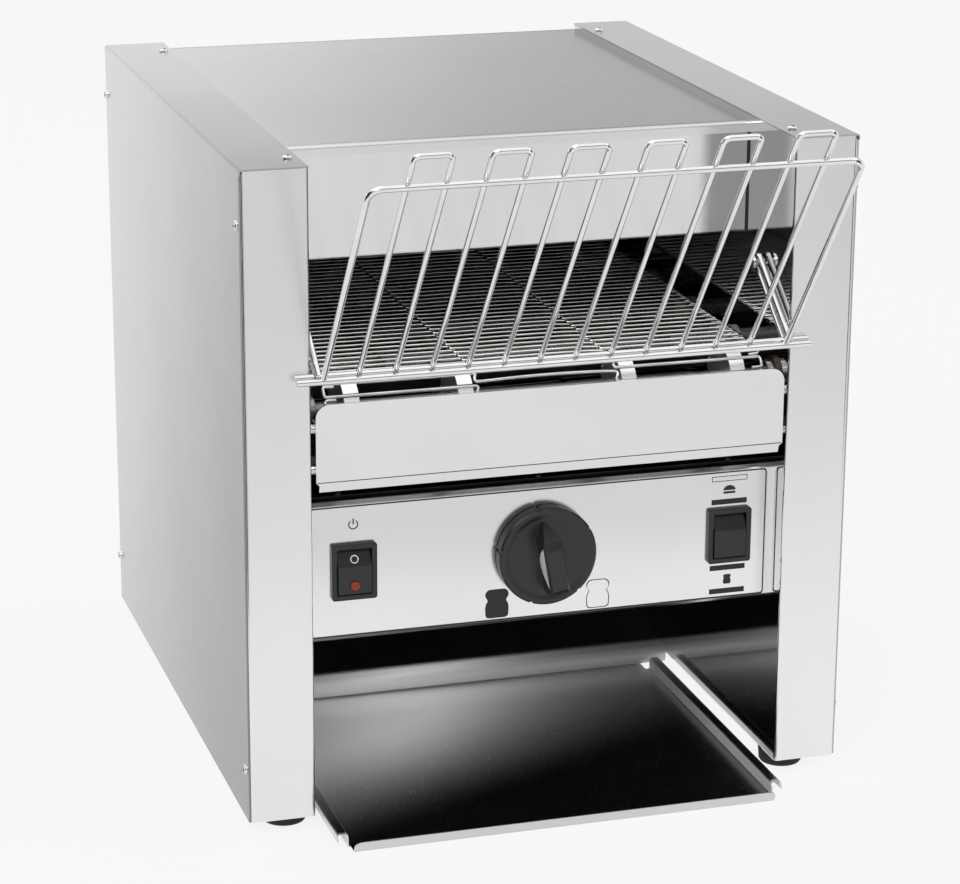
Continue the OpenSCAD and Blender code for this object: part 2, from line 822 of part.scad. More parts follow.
// ---- Shafts ----

// A toothed wheel: a disc with a round groove for each wire, turned to suit its lane.
module wheel(y, x, phase) {
    along_x([x - wheel_w / 2, y, shaft_z]) difference() {
        cylinder(r = tip_r, h = wheel_w);
        for (i = [0 : wheel_teeth - 1]) rotate(180 + phase + i * 360 / wheel_teeth)
            translate([wheel_r, 0, -eps]) cylinder(r = groove_r, h = wheel_w + 2 * eps);
        translate([0, 0, -eps]) cylinder(d = shaft_d + 2 * run_fit, h = wheel_w + 2 * eps);
    }
}

module wheels(y) {
    for (d = wheel_offsets) {
        wheel(y, belt_x - d, 0);
        wheel(y, belt_x + d, wheel_phase);
    }
}

collar_d = shaft_d + 8;
collar_w = 4;
wall_out = aisle + frame_t;
flange_in = 2;

// A shaft with two collars that keep it between the bushes.
module shaft(y, x0, x1) {
    x = aisle - flange_in - 0.3;
    along_x([x0, y, shaft_z]) cylinder(d = shaft_d, h = x1 - x0);
    for (q = [-x, x - collar_w]) along_x([q, y, shaft_z]) cylinder(d = collar_d, h = collar_w);
}

module rear_shaft() {
    color("silver") shaft(rear_y, -wall_out - 6, chain_x + sprocket_t);
}

module front_shaft() {
    color("silver") shaft(shaft_y, -wall_out - 6, wall_out + 6);
}

module rear_wheels() {
    color("silver") wheels(rear_y);
}

module front_wheels() {
    color("silver") wheels(shaft_y);
}

// Flanged brass bushes in the tower walls.
module shaft_bushes() {
    d = shaft_d + 2 * bush_t;
    color("goldenrod") sides() for (y = [shaft_y, rear_y]) difference() {
        union() {
            along_x([aisle - flange_in, y, shaft_z]) cylinder(d = d + 6, h = flange_in);
            along_x([aisle - flange_in, y, shaft_z]) cylinder(d = d, h = flange_in + frame_t + 4);
        }
        along_x([aisle - 5, y, shaft_z]) cylinder(d = shaft_d + 2 * run_fit, h = 12);
    }
}

// ---- Chain drive ----

module sprocket(y, z, bore) {
    along_x([chain_x - sprocket_t / 2, y, z]) difference() {
        union() {
            cylinder(r = sprocket_r + roller_d / 2 - 1, h = sprocket_t);
            translate([0, 0, -4]) cylinder(d = bore + 7, h = 4);
        }
        for (i = [0 : sprocket_teeth - 1]) rotate(90 + (i + 0.5) * 360 / sprocket_teeth)
            translate([sprocket_r, 0, -eps]) cylinder(d = roller_d + 0.2, h = sprocket_t + 2 * eps);
        translate([0, 0, -5]) cylinder(d = bore + 2 * run_fit, h = sprocket_t + 7);
    }
}

module shaft_sprocket() {
    color("silver") sprocket(rear_y, shaft_z, shaft_d);
}

motor_shaft_d = 8;
motor_neck = 14;

module motor_sprocket() {
    color("silver") {
        sprocket(rear_y, motor_z, motor_shaft_d);
        along_x([motor_x + motor_l + 0.3, rear_y, motor_z])
            cylinder(d = motor_shaft_d, h = chain_x + sprocket_t - motor_x - motor_l - 0.3);
    }
}

// Place of the chain's roller i, in y and z.
function roller_at(i) =
    let (run = chain_span - 1, wrap = sprocket_teeth / 2 + 1, a = 180 / sprocket_teeth)
    let (w = sprocket_r * cos(a), e = sprocket_r * sin(a))
    i < run ? [rear_y + w, shaft_z - e - i * chain_pitch]
    : i < run + wrap ? let (t = a - (i - run) * 2 * a)
        [rear_y + sprocket_r * cos(t), motor_z + sprocket_r * sin(t)]
    : i < 2 * run + wrap ? [rear_y - w, motor_z + e + (i - run - wrap) * chain_pitch]
    : let (t = 180 + a - (i - 2 * run - wrap) * 2 * a)
        [rear_y + sprocket_r * cos(t), shaft_z + sprocket_r * sin(t)];

plate_t = 0.9;
plate_h = 6;

// A chain of rollers joined by pairs of plates, set inside and outside in turn.
module drive_chain() {
    w = sprocket_t + 0.8;
    color("gray") for (i = [0 : chain_links - 1]) {
        a = roller_at(i);
        b = roller_at((i + 1) % chain_links);
        v = b - a;
        out = w / 2 + (i % 2) * (plate_t + 0.02);
        along_x([chain_x - w / 2 - 2.2, a[0], a[1]]) cylinder(d = 2.4, h = w + 4.4);
        along_x([chain_x - w / 2, a[0], a[1]]) cylinder(d = roller_d, h = w);
        for (x = [-out - plate_t, out]) translate([chain_x + x, a[0], a[1]])
            rotate([atan2(v[1], v[0]), 0, 0])
                translate([0, -1.5, -plate_h / 2]) cube([plate_t, norm(v) + 3, plate_h]);
    }
}

// The flat gear motor, with a short neck that centres it in the bracket.
module gear_motor() {
    color("dimgray") difference() {
        union() {
            along_x([motor_x, rear_y, motor_z]) cylinder(d = motor_d, h = motor_l - 6);
            along_x([motor_x, rear_y, motor_z]) cylinder(d = motor_d * 0.7, h = motor_l);
            along_x([motor_x - 3, rear_y, motor_z]) cylinder(d = motor_neck, h = 4);
        }
        along_x([motor_x + motor_l - 12, rear_y, motor_z]) cylinder(d = motor_shaft_d + 0.4, h = 14);
    }
}

bracket_w = motor_d + 24;
bracket_screws = [for (s = [-1, 1]) [rear_y + s * (bracket_w / 2 - 6), motor_z]];

module motor_bracket() {
    x = wall_out;
    color("silver") difference() {
        block([x, rear_y - bracket_w / 2, motor_z - 20], [motor_x, rear_y + bracket_w / 2, motor_z + 20]);
        hole_x(x, rear_y, motor_z, motor_neck + 0.3);
        for (p = bracket_screws) hole_x(x, p[0], p[1], screw_hole);
    }
}

module motor_screws() {
    l = motor_x - wall_out + frame_t + 2;
    color("silver") for (p = bracket_screws) along_x([motor_x, p[0], p[1]]) screw(l);
}

// ---- Fan and electrics ----

hub_d = 30;

module fan_frame() {
    w = fan_w;
    color("darkslategray") mirror([1, 0, 0]) translate([fan_x, fan_y, fan_z]) difference() {
        block([0, -w / 2, -w / 2], [fan_l, w / 2, w / 2]);
        along_x([-eps, 0, 0]) cylinder(d = w - 6, h = fan_l + 2 * eps);
        for (y = [-1, 1], z = [-1, 1]) along_x([-eps, y * (w / 2 - 5), z * (w / 2 - 5)])
            cylinder(d = 4.2, h = fan_l + 2 * eps);
    }
    color("darkslategray") mirror([1, 0, 0]) translate([fan_x, fan_y, fan_z]) {
        along_x([fan_l - 3, 0, 0]) cylinder(d = hub_d, h = 3);
        for (q = [45 : 90 : 315]) rotate([q, 0, 0])
            block([fan_l - 3, hub_d / 2 - 1, -2], [fan_l, w / 2 - 2, 2]);
    }
}

module fan_rotor() {
    blades = 7;
    color("black") mirror([1, 0, 0]) translate([fan_x + 3, fan_y, fan_z]) {
        along_x([0, 0, 0]) cylinder(d = hub_d, h = fan_l - 6.5);
        for (i = [0 : blades - 1]) rotate([i * 360 / blades, 0, 0])
            translate([fan_l / 2 - 3, hub_d / 2 - 1, 0]) rotate([0, 40, 0])
                translate([-8, 0, -0.75]) cube([16, (fan_w - hub_d) / 2 - 5, 1.5]);
    }
}

module terminal_block() {
    z0 = frame_t;
    x = -(aisle + frame_t + 4);
    w = 22;
    pole = 14;
    poles = 3;
    from_rear = 110;
    y = body_d - from_rear;
    color("ivory") difference() {
        block([x, y, z0], [x - w, y + poles * pole, z0 + 20]);
        for (i = [0 : poles - 1]) {
            translate([x - w / 2, y + (i + 0.5) * pole, z0 + 8]) cylinder(d = 6, h = 20);
            along_x([x - w - 1, y + (i + 0.5) * pole, z0 + 7]) cylinder(d = 5, h = w + 2);
        }
    }
}

// A disc thermostat on the left wall that cuts the power when the aisle gets too hot.
module heat_cutout() {
    y = 225;
    z = 290;
    color("ivory") mirror([1, 0, 0]) {
        along_x([wall_out, y, z]) cylinder(d = 24, h = 1);
        along_x([wall_out + 1, y, z]) cylinder(d = 16, h = 10);
        for (s = [-1, 1]) block([wall_out + 11, y + s * 3, z - 3], [wall_out + 18, y + s * 4, z + 3]);
    }
}

module cable_gland() {
    hex_h = 8;
    color("black") translate([gland_x, body_d, gland_z]) rotate([-90, 0, 0]) difference() {
        union() {
            cylinder(d = 24, h = hex_h, $fn = 6);
            translate([0, 0, hex_h]) cylinder(d1 = 21, d2 = 15, h = gland_reach - hex_h);
            translate([0, 0, -gland_in]) cylinder(d = gland_d, h = gland_in);
        }
        translate([0, 0, -gland_in - 1]) cylinder(d = gland_bore, h = gland_in + gland_reach + 2);
    }
}

module gland_nut() {
    y = body_d - frame_t;
    color("black") translate([gland_x, y, gland_z]) rotate([90, 0, 0]) difference() {
        cylinder(d = 24, h = 5, $fn = 6);
        translate([0, 0, -eps]) cylinder(d = gland_d + 2 * run_fit, h = 6);
    }
}

// ---- Controls ----

switch_body_w = rocker_w + 2.8;
switch_body_h = bezel_h - 1.6;
bezel_t = 3;
face_y = panel_y - label_t;

// A rocker switch's body: bezel, cavity for the rocker and pin ends in its walls.
module switch_body(x) {
    deep = 26;
    color("black") difference() {
        union() {
            lengthwise(face_y - bezel_t, face_y) polygon(rounded_loop([
                [x - bezel_w / 2, switch_z - bezel_h / 2], [x + bezel_w / 2, switch_z - bezel_h / 2],
                [x + bezel_w / 2, switch_z + bezel_h / 2], [x - bezel_w / 2, switch_z + bezel_h / 2]
            ], 1.5, 3));
            block(
                [x - switch_body_w / 2, face_y, switch_z - switch_body_h / 2],
                [x + switch_body_w / 2, face_y + deep, switch_z + switch_body_h / 2]
            );
        }
        along_x([x - rocker_w / 2, pivot_in, switch_z]) cylinder(r = rocker_r + 0.3, h = rocker_w);
    }
    color("black") for (q = [-1, 1]) along_x([x + q * (rocker_w / 2 - 1) - 1.2, pivot_in, switch_z])
        cylinder(d = 3, h = 2.4);
}

rocker_front = pivot_in - face_y + bezel_t + 1;
crease = 2.8;
fall = 17;

// A rocker pressed in at the top: two flat faces that meet in a crease, with round ends. Its lower
// face then lies parallel to the panel.
module rocker(x) {
    w = rocker_w - 0.7;
    r = rocker_r;
    crown = rocker_front / cos(rocker_tilt) + crease * tan(rocker_tilt);
    color("black") difference() {
        intersection() {
            along_x([x - w / 2, pivot_in, switch_z]) cylinder(r = r, h = w);
            translate([x - w / 2, pivot_in, switch_z]) rotate([90, 0, 90]) linear_extrude(w)
                rotate(-rocker_tilt) polygon([
                    [r / 3, -r], [(crease + r) * tan(rocker_tilt) - crown, -r], [-crown, crease],
                    [(r - crease) * tan(fall) - crown, r], [r / 3, r]
                ]);
        }
        along_x([x - w / 2 - 1, pivot_in, switch_z]) cylinder(d = 3.2, h = 3.3);
        along_x([x + w / 2 - 2.3, pivot_in, switch_z]) cylinder(d = 3.2, h = 3.3);
        if (x < 0) lamp_place() cylinder(d = lamp_d + 0.1, h = lamp_h + 1);
    }
}

lamp_d = 5.6;
lamp_h = 3.6;
lamp_proud = 0.4;
lamp_low = 8.2;

// The lamp's seat, square to the lower face of the power rocker.
module lamp_place() {
    facing([-power_x, pivot_in - rocker_front - lamp_proud + lamp_h, switch_z - lamp_low]) children();
}

module power_switch() {
    switch_body(-power_x);
}

module power_rocker() {
    rocker(-power_x);
}

module power_lamp() {
    color("red") lamp_place() cylinder(d = lamp_d, h = lamp_h);
}

module selector_switch() {
    switch_body(selector_x);
}

module selector_rocker() {
    rocker(selector_x);
}

bushing_d = 10;
spindle_d = 6;

// The rotary speed control behind the panel, with its threaded neck through the panel.
module speed_control() {
    color("dimgray") facing([knob_x, panel_back + 24, switch_z]) difference() {
        union() {
            cylinder(d = 32, h = 24);
            cylinder(d = bushing_d, h = 24 + frame_t + label_t + 2);
        }
        translate([0, 0, 10]) cylinder(d = spindle_d + 2 * run_fit, h = 30);
    }
}

module knob_spindle() {
    color("silver") facing([knob_x, panel_back + 12, switch_z]) cylinder(d = spindle_d, h = 24);
}

skirt_h = 8;
ridge_w = 6;
knob_gap = 0.8;
knob_base = face_y - knob_gap;

// Places the knob's own parts: its back on z = 0, its pointer towards +y.
module on_knob() {
    facing([knob_x, knob_base, switch_z]) rotate(knob_turn) children();
}

// The pointer ridge: a pointed arch at its head, flat at its foot, with a crowned front.
module pointer() {
    l = grip_l / 2;
    w = ridge_w;
    arch = 14;
    half = [for (i = [0:6]) let (t = i / 6) [w * (1 - t * t) + 0.4, l - arch + t * (arch + 1)]];
    crown = [[w - 3, grip_h], [w - 1.2, grip_h - 0.8], [w, grip_h - 3], [w, 0]];
    intersection() {
        translate([0, 0, 1]) linear_extrude(grip_h) polygon(concat(
            [[w - 1.5, -l], [w, 1.5 - l]], half,
            [for (i = [6:-1:0]) [-half[i].x, half[i].y]], [[-w, 1.5 - l], [1.5 - w, -l]]
        ));
        translate([0, l + 3, 0]) rotate([90, 0, 0]) linear_extrude(2 * l + 6) polygon(concat(
            [for (p = crown) [-p.x, p.y]], [for (i = [3:-1:0]) crown[i]]
        ));
        translate([-w, 0, 0]) rotate([90, 0, 90]) linear_extrude(2 * w) polygon([
            [-l - 1, 0], [-l - 1, skirt_h], [2.5 - l, grip_h - 2], [5 - l, grip_h],
            [l - 12, grip_h], [l - 6, grip_h - 2.5], [l + 2, skirt_h], [l + 2, 0]
        ]);
    }
}

module speed_knob() {
    r = knob_d / 2;
    color("black") on_knob() difference() {
        union() {
            rotate_extrude() polygon([
                [0, 0], [r, 0], [r, skirt_h - 1], [r - 1, skirt_h], [r - 3, skirt_h],
                [r - 6, skirt_h - 0.8], [0, skirt_h - 0.3]
            ]);
            pointer();
        }
        translate([0, 0, -eps]) cylinder(d = 18, h = 2.5);
        translate([0, 0, -eps]) cylinder(d = spindle_d + 2 * run_fit, h = grip_h - 4);
        for (q = [0, 70, 150, 210, 290]) rotate(q + 90) translate([r, 0, -eps])
            cylinder(d = 2.4, h = skirt_h + 2);
        marker(0.05, -1, 1.25);
    }
}

mark_l = 25;
mark_y = -2;
mark_top = grip_h - 3.2;
mark_h = mark_top - skirt_h - 1.5;

// The inlay in the ridge's left flank, bowed towards the skirt, from x0 to x1 of the flank.
module marker(gap, x0, x1) {
    translate([x0 - ridge_w, 0, 0]) rotate([90, 0, 90]) linear_extrude(x1 - x0) polygon([
        for (i = [-6:6]) let (t = i / 6) [
            mark_y + (mark_l / 2 + gap) * t, mark_top + gap - (mark_h + 2 * gap) * (1 - t * t)
        ]
    ]);
}

module knob_marker() {
    color("white") on_knob() marker(0, -0.1, 1.2);
}

// ---- Chute and tray ----

chute_back = body_d - frame_t - 13;

// Height of the chute's middle line at y.
function chute_z(y) = nose_r * 0.43 + (y - nose_y) * tan(chute_angle);

module discharge_chute() {
    h = frame_t / 2;
    y0 = nose_y + h;
    drop = nose_r + nose_r * tan((90 - chute_angle) / 2) + 0.05;
    color("gainsboro") across(2 * aisle) strip(rounded([
        [y0 + 16, chute_z(y0) - drop], [y0, chute_z(y0) - drop], [y0, chute_z(y0)],
        [chute_back, chute_z(chute_back)], [chute_back, chute_top]
    ], [nose_r, nose_r, sweep_r], 10), frame_t);
}

// The tray: hemmed side lips, a leaning front lip, open corners and a flat tail.
module toast_tray() {
    h = tray_t / 2;
    z0 = -foot_h + h;
    lip_z = z0 + lip_h - 1;
    side_y = -tray_reach + 7;
    back_y = nose_y - 3;
    out = tray_w / 2 - h;
    x = out - hem_w;
    top = z0 + lip_h - h;
    hem_z = top - lip_h / 2;
    corner_r = 5;
    color("silver") {
        difference() {
            lengthwise(side_y, back_y) strip(rounded([
                [-out, hem_z], [-out, top], [-x, top], [-x, z0], [x, z0], [x, top], [out, top], [out, hem_z]
            ], 1.2, 3), tray_t);
            difference() {
                translate([-tray_w, side_y - eps, z0 + lip_h - corner_r])
                    cube([2 * tray_w, corner_r + eps, corner_r + 1]);
                along_x([-tray_w, side_y + corner_r, z0 + lip_h - corner_r])
                    cylinder(r = corner_r, h = 2 * tray_w);
            }
        }
        block([-x + 3, back_y - eps, -foot_h], [x - 3, nose_y + tray_tuck, -foot_h + tray_t]);
        intersection() {
            across(lip_w) strip(rounded([
                [side_y + eps, z0], [-tray_reach, z0], [-tray_reach - 3.6, lip_z]
            ], 1.2, 3), tray_t);
            lengthwise(-tray_reach - 10, side_y + 1) polygon(concat(
                [[-lip_w / 2, -foot_h], [lip_w / 2, -foot_h]],
                corner([lip_w / 2, -foot_h], [lip_w / 2, lip_z], [-lip_w / 2, lip_z], 4, 5),
                corner([lip_w / 2, lip_z], [-lip_w / 2, lip_z], [-lip_w / 2, -foot_h], 4, 5)
            ));
        }
    }
}

// ---- Loading rack ----

// A point of the rack: across the machine, along the legs from the lower rods, and off their plane.
function on_leg(x, along, off = 0) =
    let (p = foot_p + leg_dir * along + leg_side * off)
    [x, p.x, p.y];

leg_l = norm(rail_p - foot_p);
leg_drop = 1.8;

// The top rail, whose ends bend down into the outer legs.
module rack_rail() {
    x = rack_w / 2;
    color("silver") wire([on_leg(-x, 0), on_leg(-x, leg_l), on_leg(x, leg_l), on_leg(x, 0)], 8, rail_d);
}

// The inner legs, bent in pairs into hairpins that pass behind the rail.
module rack_hairpins() {
    x0 = -rack_w / 2;
    color("silver") for (i = [1 : 2 : legs - 3]) {
        a = x0 + i * leg_step;
        b = a + leg_step;
        wire([
            on_leg(a, -leg_drop, hairpin_off), on_leg(a, leg_l + loop_l, hairpin_off),
            on_leg(b, leg_l + loop_l, hairpin_off), on_leg(b, -leg_drop, hairpin_off)
        ], 4, leg_d);
    }
}

module rack_rods() {
    color("silver") {
        rod([-rod_l / 2, front_rod_y, front_rod_z], [rod_l / 2, front_rod_y, front_rod_z], rod_d);
        rod([-rod_l / 2, rod_y, rod_z], [rod_l / 2, rod_y, rod_z], rod_d);
    }
}

pivot = [pivot_y, pivot_z];
arm_foot = [rod_y + rod_d / 2, rod_z + rod_d / 2];
arm_dir = (arm_foot - pivot) / norm(arm_foot - pivot);
arm_side = [-arm_dir.y, arm_dir.x];
back_l = ([rod_y, rod_z] - pivot) * arm_dir;
front_l = ([front_rod_y, front_rod_z] - pivot) * arm_dir;

function on_arm(along, off) =
    let (p = pivot + arm_dir * along + arm_side * off)
    [arm_x, p.x, p.y];

// Narrow hairpins that hook over the pivot pins.
module rack_arms() {
    color("silver") sides() wire([
        on_arm(back_l, arm_gap), on_arm(-arm_gap, arm_gap), on_arm(-arm_gap, -arm_gap),
        on_arm(front_l - 1.5, -arm_gap)
    ], arm_gap - 0.02, leg_d);
}

// Headed pins on the tower walls that carry the rack.
module rack_pins() {
    x0 = arm_x - leg_d / 2 - 1.6;
    color("silver") sides() {
        along_x([x0, pivot_y, pivot_z]) cylinder(d = pin_d, h = wall_out + 3 - x0);
        along_x([x0 - 1.5, pivot_y, pivot_z]) cylinder(d = pin_d + 5, h = 1.5);
    }
}

// ---- Feet and cover screws ----

// Rubber feet with a rounded lower edge.
module feet() {
    r = foot_d / 2;
    color("black") sides() for (y = foot_ys) translate([foot_x, y, -foot_h]) difference() {
        rotate_extrude() polygon([
            [0, 0], [r - 3, 0], [r - 1.6, 0.5], [r - 0.8, 1.8], [r, foot_h], [0, foot_h]
        ]);
        translate([0, 0, -eps]) cylinder(d = head_d + 2, h = 4 + eps);
        cylinder(d = screw_hole, h = foot_h + 1);
    }
}

module foot_screws() {
    color("silver") sides() for (y = foot_ys) translate([foot_x, y, -foot_h + 4])
        mirror([0, 0, 1]) screw(foot_h - 4 + frame_t + 3);
}

module cover_screws() {
    color("silver") sides() {
        for (y = side_screw_ys, z = side_screw_zs) along_x([half, y, z]) screw(cover_t + frame_t + 3);
        for (y = top_screw_ys) translate([top_screw_x, y, body_h]) screw(cover_t + frame_t + 3);
    }
}

// Stands the machine on the floor, centred over its own footprint.
module stand() {
    translate([0, front_y, foot_h]) children();
}

stand() left_tower_frame();
stand() right_tower_frame();
stand() left_outer_cover();
stand() right_outer_cover();
stand() top_cover();
stand() brow_panel();
stand() rear_panel();
stand() rear_deflector();
stand() control_panel();
stand() control_label();
stand() control_box();
stand() front_guard();
stand() lower_heat_shield();
stand() upper_reflector();
stand() lower_reflector();
stand() upper_elements();
stand() lower_elements();
stand() element_holders();
stand() belt_top_run();
stand() belt_return_run();
stand() belt_rails();
stand() cross_rods();
stand() rear_shaft();
stand() rear_wheels();
stand() front_shaft();
stand() front_wheels();
stand() shaft_bushes();
stand() gear_motor();
stand() motor_bracket();
stand() motor_screws();
stand() motor_sprocket();
stand() shaft_sprocket();
stand() drive_chain();
stand() fan_frame();
stand() fan_rotor();
stand() terminal_block();
stand() speed_control();
stand() knob_spindle();
stand() speed_knob();
stand() knob_marker();
stand() power_switch();
stand() power_rocker();
stand() power_lamp();
stand() selector_switch();
stand() selector_rocker();
stand() discharge_chute();
stand() toast_tray();
stand() rack_rail();
stand() rack_hairpins();
stand() rack_rods();
stand() rack_arms();
stand() rack_pins();
stand() feet();
stand() foot_screws();
stand() cover_screws();
stand() panel_screws();
stand() guard_screws();
stand() cable_gland();
stand() gland_nut();
stand() heat_cutout();
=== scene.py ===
"""Looks of a countertop conveyor toaster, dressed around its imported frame.

Each sub-assembly is a class that builds what the solids leave plain, such as the round belt
wires, the heating coils and the panel's print, and gives every piece its finish. All places are
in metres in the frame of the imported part: +Z up, the controls towards -Y.
"""

import logging
import math
from dataclasses import dataclass
from enum import Enum

import bmesh
import bpy
from mathutils import Matrix, Vector


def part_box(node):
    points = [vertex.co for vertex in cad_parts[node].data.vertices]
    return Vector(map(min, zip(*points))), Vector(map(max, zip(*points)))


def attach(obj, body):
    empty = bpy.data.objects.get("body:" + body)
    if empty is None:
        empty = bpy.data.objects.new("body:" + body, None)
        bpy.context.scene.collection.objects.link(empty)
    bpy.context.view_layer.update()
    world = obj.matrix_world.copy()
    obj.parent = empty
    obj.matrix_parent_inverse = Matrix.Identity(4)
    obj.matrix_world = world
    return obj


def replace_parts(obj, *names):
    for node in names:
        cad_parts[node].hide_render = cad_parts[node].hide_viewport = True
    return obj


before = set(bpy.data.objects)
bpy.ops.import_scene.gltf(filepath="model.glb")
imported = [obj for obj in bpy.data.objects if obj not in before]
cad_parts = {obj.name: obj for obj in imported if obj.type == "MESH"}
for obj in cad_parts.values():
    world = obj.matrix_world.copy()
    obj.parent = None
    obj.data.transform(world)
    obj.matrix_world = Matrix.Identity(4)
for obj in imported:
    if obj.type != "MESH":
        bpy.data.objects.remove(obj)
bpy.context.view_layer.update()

log = logging.getLogger("toaster")
MM = 0.001

Material = bpy.types.Material
Mesh = bmesh.types.BMesh
Piece = bpy.types.Object
Socket = bpy.types.NodeSocket
Pair = tuple[float, float]
Triple = tuple[float, float, float]
Levels = tuple[float, float, float, float]


# ---- Shared numbers -------------------------------------------------------------------------


@dataclass(frozen=True)
class Datum:
    """The machine's own datum in the part's frame: aisle middle, tower faces, housing underside.

    Attributes:
        face_y: Place of the tower faces.
        foot: Height of the housing's underside.
    """

    face_y: float
    foot: float

    def at(self, x: float, y: float, z: float) -> Vector:
        """Turns a place given in millimetres from the datum into metres in the part's frame.

        Args:
            x: Millimetres to the right of the aisle's middle.
            y: Millimetres behind the tower faces.
            z: Millimetres above the housing's underside.

        Returns:
            The place in the part's frame.
        """
        return Vector((x * MM, self.face_y + y * MM, self.foot + z * MM))


DATUM = Datum(face_y=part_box("left_tower_frame")[0].y, foot=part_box("left_tower_frame")[0].z)


# ---- Finishes -------------------------------------------------------------------------------


class Along(Enum):
    """The way in which a surface was brushed, rolled or drawn."""

    X = (0.02, 1.0, 1.0)
    Y = (1.0, 0.02, 1.0)
    Z = (1.0, 1.0, 0.02)
    NONE = (1.0, 1.0, 1.0)


class Nodes:
    """Short calls for the nodes of a material or of the room."""

    def __init__(self, tree: bpy.types.NodeTree) -> None:
        """Keeps the tree that the nodes go into."""
        self.tree = tree

    def new(self, kind: str) -> bpy.types.Node:
        """Adds a node of a kind, such as "Math"."""
        return self.tree.nodes.new(f"ShaderNode{kind}")

    def feed(self, node: bpy.types.Node, values: dict, result: str | int = 0) -> Socket:
        """Fills a node's sockets.

        Args:
            node: The node.
            values: For each socket a plain value, or the socket that feeds it.
            result: The output that is handed back.

        Returns:
            The socket of the node's result.
        """
        for name, value in values.items():
            if isinstance(value, Socket):
                self.tree.links.new(value, node.inputs[name])
            else:
                node.inputs[name].default_value = value
        return node.outputs[result]

    def combined(self, how: str, *values: Socket | float) -> Socket:
        """Combines values.

        Args:
            how: Blender's name of the operation.
            *values: The values.

        Returns:
            The socket of the result.
        """
        node = self.new("Math")
        node.operation = how
        return self.feed(node, dict(enumerate(values)))

    def mixed(self, share: Socket, first: Socket | float, second: Socket | float) -> Socket:
        """Mixes two values by the share of the second, from 0 to 1."""
        return self.feed(self.new("Mix"), {"Factor": share, "A": first, "B": second}, "Result")

    def blend(self, share: Socket, first: Socket | Triple, second: Socket | Triple) -> Socket:
        """Blends two colours.

        Args:
            share: The share of the second colour.
            first: The first colour.
            second: The second colour.

        Returns:
            The socket of the colour.
        """
        node = self.new("Mix")
        node.data_type = "RGBA"
        first, second = (c if isinstance(c, Socket) else (*c, 1.0) for c in (first, second))
        return self.feed(node, {"Factor": share, "A": first, "B": second}, "Result")

    def split(self, value: Socket) -> bpy.types.NodeOutputs:
        """Splits a place or a direction into its three parts."""
        return self.feed(self.new("SeparateXYZ"), {"Vector": value}).node.outputs

    def spread(
        self, value: Socket, low: float, high: float, start: float = 0.3, end: float = 0.7
    ) -> Socket:
        """Maps a pattern's middle values onto a range.

        Args:
            value: The pattern.
            low: Result at start.
            high: Result at end.
            start: Pattern value that gives low.
            end: Pattern value that gives high.

        Returns:
            The socket of the mapped value.
        """
        limits = {"From Min": start, "From Max": end, "To Min": low, "To Max": high}
        return self.feed(self.new("MapRange"), {"Value": value, **limits})

    def varied(self, pattern: Socket, level: float, shares: Pair) -> Socket:
        """Lets a level vary with a pattern, between two shares of it."""
        return self.spread(pattern, level * shares[0], level * shares[1])

    def change(
        self, value: Socket, start: float, end: float, low: float = 0.0, high: float = 1.0
    ) -> Socket:
        """Adds a smooth change from one level to another.

        Args:
            value: What the change goes by.
            start: Where it starts.
            end: Where it ends.
            low: Level before the start.
            high: Level after the end.

        Returns:
            The socket of the level.
        """
        level = self.spread(value, low, high, start, end)
        level.node.interpolation_type = "SMOOTHSTEP"
        return level

    def seen_directly(self) -> Socket:
        """Adds a value that is 1 for what the camera, metal and glass see.

        Returns:
            The socket of the value.
        """
        rays = self.new("LightPath").outputs
        total = rays["Is Camera Ray"]
        for ray in ("Is Glossy Ray", "Is Transmission Ray"):
            total = self.combined("MAXIMUM", total, rays[ray])
        return total


